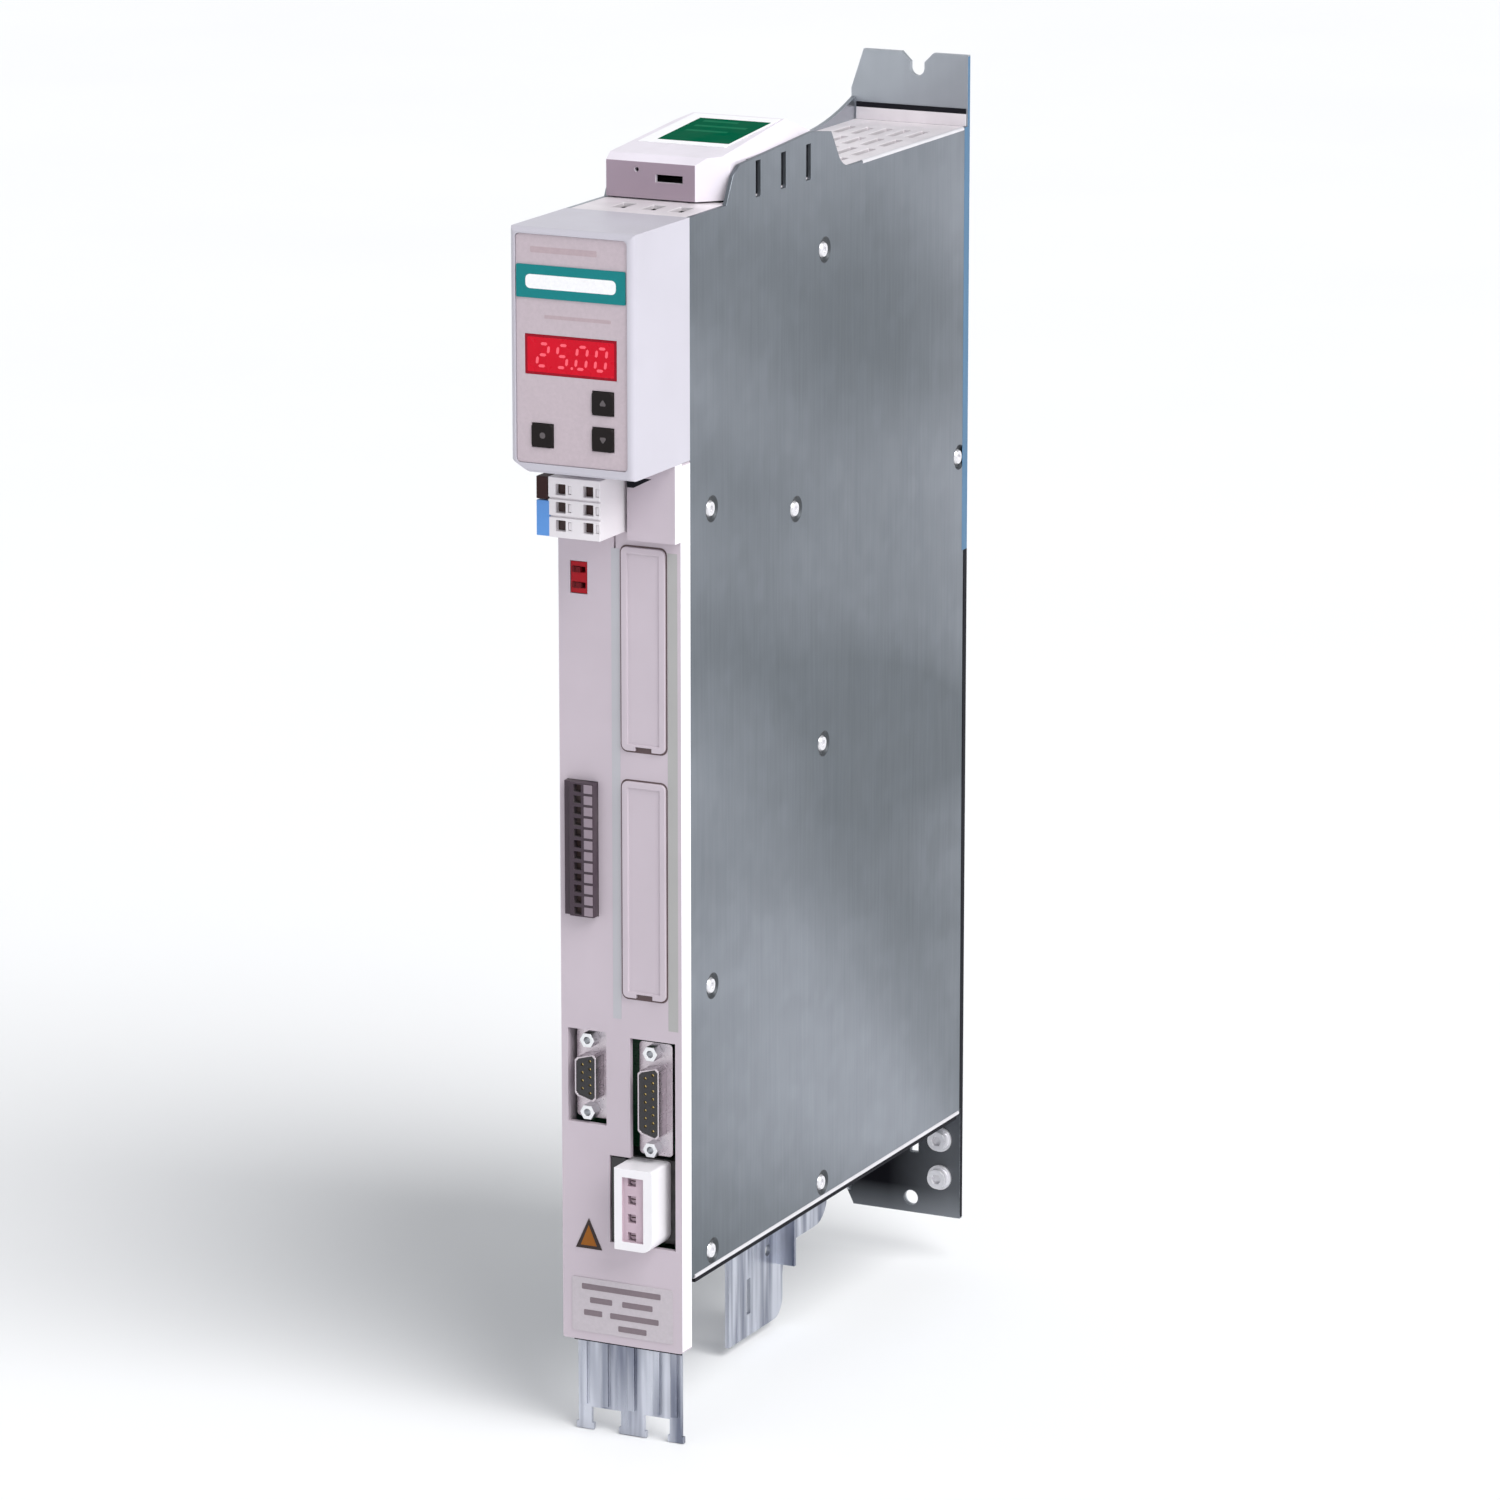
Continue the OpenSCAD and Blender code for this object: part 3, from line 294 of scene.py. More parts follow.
def moulded(name, colour, rough=0.42, grain=2600.0, depth=0.05, rub_and_sheen=0.35, dust_and_shade=0.25,
            coat=0.0, specular=0.5):
    """Moulded plastic with a fine grain, rubbed edges with painted highlights, and a little dust
    with painted shade in corners.
    """
    material, graph, shader = start_material(name)
    grain_out = group_node(graph, "Moulded grain", Scale=grain)
    rubbed_and_lit = group_node(graph, "Rubbed edges and sheen", Radius=0.5 * MM, Amount=rub_and_sheen)["Mask"]
    dust_and_shade_mask = group_node(graph, "Dust and corner shade", Amount=dust_and_shade)["Mask"]
    base = graph.blend(grain_out["Tone"], shade(colour, 0.93), shade(colour, 1.06))
    # Lighter rubbed edges: wear and painted highlight at once.
    base = graph.blend(rubbed_and_lit, base, shade(colour, 1.30))
    # Dust colour, which is also painted shade in corners.
    base = graph.blend(dust_and_shade_mask, base, (0.34, 0.32, 0.30, 1.0))
    graph.feed(shader.inputs["Base Color"], base)
    graph.feed(shader.inputs["Roughness"], graph.maths(
        "ADD", graph.stretch(grain_out["Tone"], 0.3, 0.7, rough - 0.05, rough + 0.06),
        graph.maths("MULTIPLY", dust_and_shade_mask, 0.3), clamp=True))
    bump = graph.add("ShaderNodeBump", {"Strength": depth * 2, "Distance": 0.05 * MM,
                                        "Height": grain_out["Height"]})
    graph.feed(shader.inputs["Normal"], bump.outputs[0])
    shader.inputs["Specular IOR Level"].default_value = specular
    shader.inputs["Coat Weight"].default_value = coat
    return material


def painted_reflection_bands(graph, base):
    """Painted reflection: broad soft light and dark bands across a large sheet, as its slight
    waviness reflects the room.
    """
    turned = graph.add("ShaderNodeMapping", {
        "Vector": graph.place(), "Rotation": (math.radians(23), 0.0, 0.0)}).outputs[0]
    drawn = graph.add("ShaderNodeMapping", {"Vector": turned, "Scale": (1.0, 3.2, 11.0)})
    wave = graph.stretch(graph.noise(drawn.outputs[0], 1.0, 1.5, 0.45), 0.34, 0.66)
    light = graph.blend(wave, (0.60, 0.63, 0.65, 1.0), (1.32, 1.30, 1.33, 1.0))
    return graph.blend(1.0, base, light, "MULTIPLY")


def painted_foot_shadow(graph, base):
    """Painted shadow on the lower lug's front face, under the housing."""
    low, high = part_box("rear_plate")
    split = graph.add("ShaderNodeSeparateXYZ", {0: graph.place()}).outputs
    upward = graph.stretch(split["Z"], low.z - 14 * MM, low.z + 10 * MM)
    inward = graph.stretch(split["X"], high.x - 4.5 * MM, high.x - 28.5 * MM, 0.70, 1.0)
    front = graph.stretch(split["Y"], high.y - 0.7 * MM, high.y - 1.3 * MM)
    lower_half = graph.stretch(split["Z"], low.z + 240 * MM, low.z + 230 * MM)
    mask = graph.maths("MULTIPLY", graph.maths("MULTIPLY", upward, inward),
                       graph.maths("MULTIPLY", front, lower_half), clamp=True)
    # Near black: the painted shadow's colour.
    return graph.blend(mask, base, (0.006, 0.006, 0.009, 1.0))


def streak_reflections(graph, base):
    """Strong upright light and dark streaks on a plated part, painted in as reflections."""
    squeeze = graph.add("ShaderNodeMapping", {"Vector": graph.place(), "Scale": (1, 1, 0.07)})
    streak = graph.stretch(graph.noise(squeeze.outputs[0], 170.0, 2.0, 0.6), 0.36, 0.62)
    light = graph.blend(streak, (0.40, 0.41, 0.50, 1.0), (1.40, 1.36, 1.40, 1.0))
    return graph.blend(1.0, base, light, "MULTIPLY")


def sheet_metal(name, colour, rough=0.36, metal=1.0, spangle=130.0, depth=0.10, rub_and_sheen=0.5,
                dust_and_shade=0.2, painted_light=None):
    """Zinc-coated sheet with rolled streaks, spangle, rubbed edges with painted highlights, and
    dust with painted shade in corners. Its last argument recolours it with painted light and shade.
    """
    material, graph, shader = start_material(name)
    sheet = group_node(graph, "Rolled sheet", Spangle=spangle)
    rubbed_and_lit = group_node(graph, "Rubbed edges and sheen", Radius=0.6 * MM, Amount=rub_and_sheen)["Mask"]
    dust_and_shade_mask = group_node(graph, "Dust and corner shade", Amount=dust_and_shade)["Mask"]
    base = graph.blend(sheet["Tone"], shade(colour, 0.88), shade(colour, 1.10))
    if painted_light:
        base = painted_light(graph, base)
    # Lighter rubbed edges: wear and painted highlight at once.
    base = graph.blend(rubbed_and_lit, base, shade(colour, 1.55))
    # Dust colour, which is also painted shade in corners.
    base = graph.blend(dust_and_shade_mask, base, (0.16, 0.15, 0.14, 1.0))
    graph.feed(shader.inputs["Base Color"], base)
    graph.feed(shader.inputs["Metallic"], graph.stretch(dust_and_shade_mask, 0.0, 1.0, metal, 0.2))
    graph.feed(shader.inputs["Roughness"], graph.maths(
        "ADD", graph.stretch(sheet["Streak"], 0.3, 0.7, rough - 0.05, rough + 0.07),
        graph.maths("MULTIPLY", dust_and_shade_mask, 0.3), clamp=True))
    bump = graph.add("ShaderNodeBump", {"Strength": depth, "Distance": 0.04 * MM,
                                        "Height": sheet["Height"]})
    graph.feed(shader.inputs["Normal"], bump.outputs[0])
    return material


def bright_metal(name, colour, rough=0.22, grain=1400.0, rub_and_sheen=0.4):
    """Plated or machined metal with fine scratches."""
    material, graph, shader = start_material(name)
    place = graph.place()
    scratch = graph.noise(graph.add("ShaderNodeMapping", {
        "Vector": place, "Scale": (1.0, 0.12, 1.0)}).outputs[0], grain, 4.0, 0.7)
    rubbed_and_lit = group_node(graph, "Rubbed edges and sheen", Radius=0.3 * MM, Amount=rub_and_sheen)["Mask"]
    base = graph.blend(graph.noise(place, 160.0), shade(colour, 0.86), shade(colour, 1.08))
    # Lighter rubbed edges: wear and painted highlight at once.
    base = graph.blend(rubbed_and_lit, base, shade(colour, 1.25))
    graph.feed(shader.inputs["Base Color"], base)
    graph.feed(shader.inputs["Roughness"], graph.stretch(scratch, 0.3, 0.7, rough - 0.05,
                                                         rough + 0.10))
    bump = graph.add("ShaderNodeBump", {"Strength": 0.08, "Distance": 0.02 * MM,
                                        "Height": scratch})
    graph.feed(shader.inputs["Normal"], bump.outputs[0])
    shader.inputs["Metallic"].default_value = 1.0
    return material


def printed_foil(name, colour, rough=0.42, coat=0.0, specular=0.25):
    """Printed foil: slightly mottled ink under a thin gloss."""
    material, graph, shader = start_material(name)
    place = graph.place()
    mottle = graph.noise(place, 900.0, 4.0, 0.6)
    dust_and_shade_mask = group_node(graph, "Dust and corner shade", Amount=0.12)["Mask"]
    base = graph.blend(mottle, shade(colour, 0.90), shade(colour, 1.12))
    base = graph.blend(dust_and_shade_mask, base, (0.3, 0.29, 0.28, 1.0))
    graph.feed(shader.inputs["Base Color"], base)
    graph.feed(shader.inputs["Roughness"], graph.stretch(mottle, 0.3, 0.7, rough - 0.04,
                                                         rough + 0.05))
    bump = graph.add("ShaderNodeBump", {"Strength": 0.12, "Distance": 0.02 * MM,
                                        "Height": graph.noise(place, 3200.0, 2.0)})
    graph.feed(shader.inputs["Normal"], bump.outputs[0])
    shader.inputs["Coat Weight"].default_value = coat
    shader.inputs["Specular IOR Level"].default_value = specular
    return material


def circuit_board(name, colour):
    """Solder resist over copper tracks."""
    material, graph, shader = start_material(name)
    place = graph.place()
    cells = graph.add("ShaderNodeTexBrick", {
        "Vector": graph.add("ShaderNodeMapping", {
            "Vector": place, "Rotation": (math.pi / 2, 0.0, 0.0)}).outputs[0],
        "Color1": shade(colour, 1.0), "Color2": shade(colour, 1.25),
        "Mortar": shade(colour, 0.62), "Scale": 260.0, "Mortar Size": 0.04})
    base = graph.blend(graph.noise(place, 120.0), cells.outputs["Color"], shade(colour, 0.9))
    graph.feed(shader.inputs["Base Color"], base)
    graph.feed(shader.inputs["Roughness"], graph.stretch(graph.noise(place, 600.0), 0.3, 0.7,
                                                         0.25, 0.42))
    bump = graph.add("ShaderNodeBump", {"Strength": 0.3, "Distance": 0.04 * MM,
                                        "Height": cells.outputs["Fac"]})
    graph.feed(shader.inputs["Normal"], bump.outputs[0])
    return material


def tinted_window(name, colour):
    """Red window with a soft moulding ripple."""
    material, graph, shader = start_material(name)
    place = graph.place()
    ripple = graph.noise(place, 160.0, 2.0)
    graph.feed(shader.inputs["Base Color"], graph.blend(ripple, shade(colour, 0.92),
                                                        shade(colour, 1.08)))
    graph.feed(shader.inputs["Roughness"], graph.stretch(ripple, 0.3, 0.7, 0.22, 0.32))
    bump = graph.add("ShaderNodeBump", {"Strength": 0.05, "Distance": 0.05 * MM,
                                        "Height": ripple})
    graph.feed(shader.inputs["Normal"], bump.outputs[0])
    shader.inputs["Specular IOR Level"].default_value = 0.18
    return material


def lit(name, colour, glow, strength):
    """A diffuse surface that glows a little."""
    material, graph, shader = start_material(name)
    speck = graph.noise(graph.place(), 1800.0, 3.0)
    graph.feed(shader.inputs["Base Color"], graph.blend(speck, shade(colour, 0.85),
                                                        shade(colour, 1.1)))
    graph.feed(shader.inputs["Emission Color"], graph.blend(speck, shade(glow, 0.9),
                                                            shade(glow, 1.0)))
    shader.inputs["Emission Strength"].default_value = strength
    shader.inputs["Roughness"].default_value = 0.4
    return material


def make_materials(colours):
    """Every finish, by name."""
    for build in (moulded_grain, rubbed_edges_and_sheen, dust_and_corner_shade, rolled_sheet):
        build()
    return {
        # The side sheet carries painted reflection bands.
        "sheet": sheet_metal("Side sheet", colours.sheet, rough=0.42, metal=0.85, depth=0.06,
                             painted_light=painted_reflection_bands),
        "zinc": sheet_metal("Galvanised sheet", colours.zinc, rough=0.34, metal=0.95),
        # Rear sheet, a little darker, with a painted shadow on its lower lug.
        "rear": sheet_metal("Rear sheet", shade(colours.zinc, 0.9), rough=0.34, metal=0.9,
                            painted_light=painted_foot_shadow),
        # Painted shade for the dimples round the cover screws.
        "dimple": sheet_metal("Screw dimple shade", shade(colours.sheet, 0.35), rough=0.4, metal=0.8),
        "screw": sheet_metal("White-zinc screw", (0.84, 0.83, 0.86), rough=0.3, metal=0.8),
        # Far lighter than the other zinc: painted light on the up-facing top sheet.
        "lit_top_sheet": sheet_metal("Top sheet, painted light", (0.86, 0.81, 0.84), rough=0.5, metal=0.45),
        # Pale hem colour: painted highlights along the side sheet's folded edges.
        "hem": sheet_metal("Rolled hem highlight", (0.76, 0.74, 0.77), rough=0.4, metal=0.5),
        # Blue sheen painted where the rear edge is lit.
        "blue_sheen": sheet_metal("Rim blue sheen", (0.085, 0.20, 0.34), rough=0.4, metal=0.6,
                             spangle=60.0),
        # Shield plates carry painted streaky reflections.
        "shield": sheet_metal("Zinc-plated shield", colours.zinc, rough=0.30,
                              spangle=70.0, dust_and_shade=0.35, painted_light=streak_reflections),
        "steel": bright_metal("Bright steel", colours.steel, rough=0.30),
        "port": bright_metal("Nickel shell", (0.62, 0.56, 0.60), rough=0.28),
        "gold": bright_metal("Gilt contact", (0.80, 0.58, 0.22), rough=0.2),
        "copper": bright_metal("Bus copper", (0.72, 0.38, 0.22), rough=0.28, grain=900.0),
        "brass": bright_metal("Clamp brass", (0.72, 0.56, 0.26), rough=0.25),
        "aluminium": bright_metal("Extruded aluminium", (0.62, 0.63, 0.65), rough=0.3),
        "frame": moulded("Front frame plastic", colours.frame),
        "blank": moulded("Slot blank plastic", colours.frame),
        "panel": moulded("Panel plastic", colours.panel, rough=0.36),
        "hood": moulded("Bus cover plastic", colours.hood, rough=0.34, dust_and_shade=0.4),
        # Darker copy of the cover plastic: painted shade on its front.
        "hood_front": moulded("Bus cover front shade", (0.34, 0.26, 0.32), rough=0.45),
        "face": printed_foil("Panel foil", colours.face, rough=0.42, coat=0.05),
        "band": printed_foil("Band ink", colours.band),
        "white_ink": printed_foil("White ink", (0.90, 0.89, 0.92)),
        "grey_ink": printed_foil("Grey ink", (0.20, 0.16, 0.18)),
        "rose_ink": printed_foil("Faint ink", (0.46, 0.36, 0.39)),
        "green": printed_foil("Green label", colours.green, rough=0.85, specular=0.0),
        "green_line": printed_foil("Green label line", (0.01, 0.15, 0.075), rough=0.85,
                                   specular=0.0),
        "amber": printed_foil("Amber label", colours.amber),
        "dark_ink": printed_foil("Dark ink", (0.035, 0.022, 0.02)),
        "label": printed_foil("Name field foil", (0.50, 0.455, 0.49), rough=0.4, coat=0.1),
        "window": tinted_window("Display window", colours.display),
        "window_rim": tinted_window("Display rim", (0.30, 0.0, 0.012)),
        "lamp": lit("Display ground", (0.25, 0.01, 0.02), (1.0, 0.02, 0.05), 0.55),
        "digit": lit("Display segment", (0.80, 0.09, 0.13), (1.0, 0.10, 0.14), 0.25),
        "key": moulded("Key rubber", colours.key, rough=0.6, depth=0.08, rub_and_sheen=0.25, dust_and_shade=0.08,
                       specular=0.2),
        "key_mark": printed_foil("Key mark", (0.11, 0.095, 0.10)),
        "red": moulded("Switch red", (0.36, 0.002, 0.010), rough=0.4, rub_and_sheen=0.2, specular=0.2),
        "slider": moulded("Slider dark red", (0.13, 0.0, 0.004), rough=0.4, rub_and_sheen=0.2,
                          specular=0.2),
        "dark": moulded("Plug dark mauve", (0.055, 0.036, 0.050), rough=0.5, dust_and_shade=0.3,
                        specular=0.3),
        "mid": moulded("Plug lever mauve", (0.27, 0.215, 0.255), rough=0.45),
        "cream": moulded("Plug white", (0.80, 0.76, 0.79), rough=0.38),
        # Near black painted shade in wire openings, slots and recesses.
        "entry": moulded("Wire entry shade", (0.035, 0.012, 0.012), rough=0.6, specular=0.2),
        # Saturated blue: painted reflection on the supply plug's left flank.
        "blue": moulded("Flank blue reflection", (0.10, 0.30, 0.72), rough=0.36),
        # Real white of the stop plug, also used as painted light on lit sides.
        "pale": moulded("Stop plug white and lit sides", (0.84, 0.82, 0.85), rough=0.32),
        # Painted shade inside the stop plug's recess, also on its screws.
        "rose": moulded("Stop plug recess shade", (0.55, 0.42, 0.49), rough=0.45),
        # Painted shade beside the slot blanks.
        "margin": moulded("Frame margin shade", (0.395, 0.39, 0.385), rough=0.5, rub_and_sheen=0.0),
        "flute": moulded("Frame flute shade", (0.46, 0.455, 0.49), rough=0.5, rub_and_sheen=0.0),
        # Painted shade for the gaps round the slot blanks.
        "gap": moulded("Slot gap shade", (0.11, 0.075, 0.08), rough=0.6, rub_and_sheen=0.0, specular=0.2),
        # Near black painted shadow, used for strips in gaps and under overhangs.
        "painted_shadow": moulded("Painted shadow", (0.008, 0.008, 0.012), rough=0.7, rub_and_sheen=0.0, dust_and_shade=0.0,
                        specular=0.15),
        "black": moulded("Black insert", (0.018, 0.017, 0.02), rough=0.38, dust_and_shade=0.3),
        "terminal": moulded("Terminal green", (0.03, 0.16, 0.07), rough=0.4),
        "board": circuit_board("Circuit board", (0.02, 0.13, 0.055)),
        "sleeve": moulded("Capacitor sleeve", (0.02, 0.055, 0.16), rough=0.22, coat=0.4),
        "ferrite": moulded("Ferrite core", (0.055, 0.05, 0.048), rough=0.6),
        "tape": moulded("Winding tape", (0.50, 0.36, 0.06), rough=0.35),
        "ribbon": moulded("Ribbon cable", (0.36, 0.365, 0.38), rough=0.45),
    }


# ---- mesh helpers ----

finish = {}


def cad_mesh(node, whole_faces=True):
    """A CAD node's mesh, welded, and with its flat faces whole unless told otherwise."""
    bm = bmesh.new()
    bm.from_mesh(frame["nodes"][node].data)
    bmesh.ops.remove_doubles(bm, verts=bm.verts, dist=WELD)
    if whole_faces:
        bmesh.ops.dissolve_limit(bm, angle_limit=math.radians(0.4), verts=bm.verts,
                                 edges=bm.edges)
    return bm


def lies_on(edge, *planes):
    """Whether an edge lies on every plane. Each is (axis number, place along it)."""
    return all(abs(vert.co[axis] - place) < SAME_PLACE
               for vert in edge.verts for axis, place in planes)


def as_piece(name, bm, body, looks, edge=0.0, segments=2, replaces=()):
    """Turns a mesh into a named piece that rides on a body. looks are finishes by index."""
    mesh = bpy.data.meshes.new(name)
    bm.normal_update()
    bm.to_mesh(mesh)
    bm.free()
    for look in looks:
        mesh.materials.append(finish[look])
    for face in mesh.polygons:
        face.use_smooth = True
    mesh.set_sharp_from_angle(angle=CREASE)
    piece = bpy.data.objects.new(name, mesh)
    bpy.context.scene.collection.objects.link(piece)
    if edge > 0:
        bevel = piece.modifiers.new("Rounded edges", "BEVEL")
        bevel.width = edge
        bevel.segments = segments
        bevel.limit_method = "ANGLE"
        bevel.angle_limit = CREASE
        bevel.harden_normals = True
        bevel.loop_slide = False
        bevel.use_clamp_overlap = True
        flat = piece.modifiers.new("Flat faces", "WEIGHTED_NORMAL")
        flat.weight = 100
        flat.keep_sharp = True
    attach(piece, body)
    if replaces:
        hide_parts(*replaces)
    return piece


def dress(node, look, edge, paint=(), suffix="_skin", segments=2):
    """A CAD node's own shape with rounded edges, in place of the node.

    paint lists (test, look) pairs: faces whose centre passes the test take that look.
    """
    bm = cad_mesh(node)
    for index, (test, _) in enumerate(paint, 1):
        for face in bm.faces:
            if test(face.calc_center_median()):
                face.material_index = index
    looks = [look] + [other for _, other in paint]
    return as_piece(node + suffix, bm, BODY_OF[node], looks, edge, segments,
                    replaces=[node])


def add_block(bm, low, high, look=0):
    """A box between two corners."""
    centre = (Vector(low) + Vector(high)) / 2
    size = Vector(high) - Vector(low)
    made = bmesh.ops.create_cube(bm, size=1, matrix=Matrix.Translation(centre)
                                 @ Matrix.Diagonal((*size, 1)))
    paint_made(made, look)


def paint_made(made, look):
    """Gives the faces round newly made vertices a look."""
    for face in {f for v in made["verts"] for f in v.link_faces}:
        face.material_index = look


AXIS_TURN = {
    "X": Matrix.Rotation(math.pi / 2, 4, "Y"),
    "Y": Matrix.Rotation(math.pi / 2, 4, "X"),
    "Z": Matrix.Identity(4),
}


def add_rod(bm, centre, axis, radius, depth, look=0, radius2=None, sides=24):
    """A cylinder or cone along a row axis, about its centre."""
    made = bmesh.ops.create_cone(
        bm, cap_ends=True, segments=sides, radius1=radius,
        radius2=radius if radius2 is None else radius2, depth=depth,
        matrix=Matrix.Translation(centre) @ AXIS_TURN[axis])
    paint_made(made, look)


def add_prism(bm, outline, y_front, y_back, look=0):
    """An outline in X and Z, given thickness along Y."""
    front = [bm.verts.new((x, y_front, z)) for x, z in outline]
    back = [bm.verts.new((x, y_back, z)) for x, z in outline]
    faces = [bm.faces.new(front), bm.faces.new(list(reversed(back)))]
    count = len(outline)
    for i in range(count):
        j = (i + 1) % count
        faces.append(bm.faces.new((front[j], front[i], back[i], back[j])))
    for face in faces:
        face.material_index = look
    bmesh.ops.recalc_face_normals(bm, faces=faces)


def add_lathe(bm, centre, axis, profile, look_at, sides=40):
    """A turned shape. profile lists (radius, place along the axis), look_at gives a band's look."""
    turn = AXIS_TURN[axis]
    rings = []
    for radius, along in profile:
        ring = []
        for k in range(sides):
            angle = 2 * math.pi * k / sides
            point = turn @ Vector((radius * math.cos(angle), radius * math.sin(angle), along))
            ring.append(bm.verts.new(Vector(centre) + point))
        rings.append(ring)
    faces = []
    for band, (low, high) in enumerate(zip(rings, rings[1:])):
        for k in range(sides):
            n = (k + 1) % sides
            face = bm.faces.new((low[k], low[n], high[n], high[k]))
            face.material_index = look_at(band)
            faces.append(face)
    for ring, band in ((rings[0], 0), (rings[-1], len(rings) - 2)):
        face = bm.faces.new(ring)
        face.material_index = look_at(band)
        faces.append(face)
    bmesh.ops.recalc_face_normals(bm, faces=faces)


def rounded_outline(x_low, x_high, z_low, z_high, radius, steps=5):
    """A rectangle's outline with round corners."""
    corners = ((x_high - radius, z_low + radius, -90), (x_high - radius, z_high - radius, 0),
               (x_low + radius, z_high - radius, 90), (x_low + radius, z_low + radius, 180))
    points = []
    for x, z, start in corners:
        for k in range(steps + 1):
            angle = math.radians(start + 90 * k / steps)
            points.append((x + radius * math.cos(angle), z + radius * math.sin(angle)))
    return points


def middle(node):
    """The centre of a CAD node's box."""
    low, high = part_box(node)
    return (low + high) / 2


# ---- housing ----

def build_housing(settings):
    """Side cover, left wall, top, bottom and rear sheets, with their screws."""
    edges = settings.finish
    low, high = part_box("side_cover")
    bm = cad_mesh("side_cover")
    rims = ((2, low.z), (1, low.y), (1, high.y))
    folded = [edge for edge in bm.edges
              if any(lies_on(edge, (0, high.x), rim) for rim in rims)]
    bmesh.ops.bevel(bm, geom=folded, offset=edges.fold_edge, segments=4, profile=0.5,
                    affect="EDGES", clamp_overlap=True)
    dimple_floor = (0.86, 0.94)
    dimple_slope = (0.3, 0.6)
    # Dimple floors and slopes take the dark finish: painted shade in the dimples.
    for face in bm.faces:
        inset = (high.x - face.calc_center_median().x) / MM
        if any(start < inset < end for start, end in (dimple_floor, dimple_slope)):
            face.material_index = 1
    as_piece("side_cover_skin", bm, "drive", ["sheet", "dimple"],
             edges.sheet_edge, 2, replaces=["side_cover"])
    # The top sheet takes the lighter finish, as painted light.
    for node, look in (("left_wall", "zinc"), ("top_plate", "lit_top_sheet"),
                       ("bottom_plate", "zinc"), ("rear_plate", "rear")):
        dress(node, look, edges.sheet_edge)
    build_hems()
    build_rear_edge_sheen()
    build_lug_foot_light()
    build_painted_shadows()
    dress("cover_screws", "screw", edges.fine_edge, suffix="_heads")
    dress("earth_screws", "screw", edges.fine_edge)
    dress("cover_pillars", "steel", edges.fine_edge)


RIM_PROUD = 0.08 * MM  # how far the painted sheen and the painted shadow strips stand out of the rear plate's edge
RIM_TURN = 0.58  # where the rear edge turns from painted shade to painted blue sheen, as a share of the housing's height
LUG_STEP = 4.4 * MM  # height of the painted light strip on the fold at the foot of the upper lug


def build_hems():
    """Rolled hems along the side sheet's bottom and behind the bus cover, far lighter than the
    sheet as painted highlights.
    """
    low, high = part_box("side_cover")
    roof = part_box("top_plate")[1].z
    hood_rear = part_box("bus_cover")[1].y
    radius = 0.8 * MM
    bm = bmesh.new()
    add_rod(bm, (high.x - 0.35 * MM, (low.y + high.y) / 2, low.z + radius), "Y", radius,
            high.y - low.y - 4 * MM)
    add_rod(bm, (high.x - 0.7 * MM, (hood_rear + high.y) / 2 + 9 * MM, roof - 0.5 * MM), "Y",
            radius, high.y - hood_rear - 24 * MM)
    as_piece("side_hems", bm, "drive", ["hem"])


def build_rear_edge_sheen():
    """Painted blue sheen on the upper part of the rear plate's right edge."""
    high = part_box("rear_plate")[1]
    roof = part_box("top_plate")[1].z
    outer = high.x + RIM_PROUD
    back = high.y - 0.1 * MM
    bm = bmesh.new()
    add_block(bm, (high.x - 0.2 * MM, high.y - 4.4 * MM, RIM_TURN * roof), (outer, back, roof))
    add_block(bm, (high.x - 0.2 * MM, high.y - 1.9 * MM, roof),
              (outer, back, high.z - 0.4 * MM))
    as_piece("rear_edge_sheen", bm, "drive", ["blue_sheen"], 0.1 * MM)


def add_lug_strip(bm, z_low, z_high):
    """A thin strip across the front of the upper lug."""
    low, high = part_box("rear_plate")
    add_block(bm, (low.x + 2 * MM, low.y - 0.3 * MM, z_low),
              (high.x - 0.6 * MM, low.y + 0.05 * MM, z_high))


def build_lug_foot_light():
    """Painted light strip on the fold where the upper lug meets the top sheet."""
    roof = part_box("top_plate")[1].z
    bm = bmesh.new()
    add_lug_strip(bm, roof + 0.05 * MM, roof + LUG_STEP)
    as_piece("lug_foot_light", bm, "drive", ["lit_top_sheet"], 0.1 * MM)


def build_painted_shadows():
    """Painted shadow strips under the side sheet, over the lug's fold and down the lower rear edge.
    """
    low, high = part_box("side_cover")
    plate_low, plate_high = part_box("rear_plate")
    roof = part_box("top_plate")[1].z
    outer = plate_high.x + RIM_PROUD
    back = plate_high.y - 0.1 * MM
    floor = low.z + 2 * MM
    bm = bmesh.new()
    add_block(bm, (high.x - 3.2 * MM, low.y + 3 * MM, low.z - 1.5 * MM),
              (high.x - 0.25 * MM, high.y - 3 * MM, low.z + 0.05 * MM))
    add_lug_strip(bm, roof + LUG_STEP, roof + 6.2 * MM)
    add_block(bm, (plate_high.x - 0.3 * MM, plate_high.y - 2.6 * MM, floor),
              (outer, back, RIM_TURN * roof))
    add_block(bm, (plate_high.x - 0.3 * MM, plate_high.y - 1.9 * MM, plate_low.z + 0.5 * MM),
              (outer, back, floor))
    as_piece("painted_shadow_strips", bm, "drive", ["painted_shadow"])


# ---- front ----

def build_front(settings):
    """Front frame, slot blanks and the labels on the frame."""
    edges = settings.finish
    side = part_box("front_frame")[1].x - 0.1 * MM
    # The frame's right side faces take the pale finish: painted light.
    dress("front_frame", "frame", edges.mould_edge, [(lambda c: c.x > side, "pale")],
          segments=3)
    for node in ("slot_a_blank", "slot_b_blank"):
        dress(node, "blank", edges.mould_edge, segments=3)
    build_frame_shade_strips()
    build_slot_gap_shade()
    build_panel_foot_shadow()
    build_amber_label()
    build_name_field()


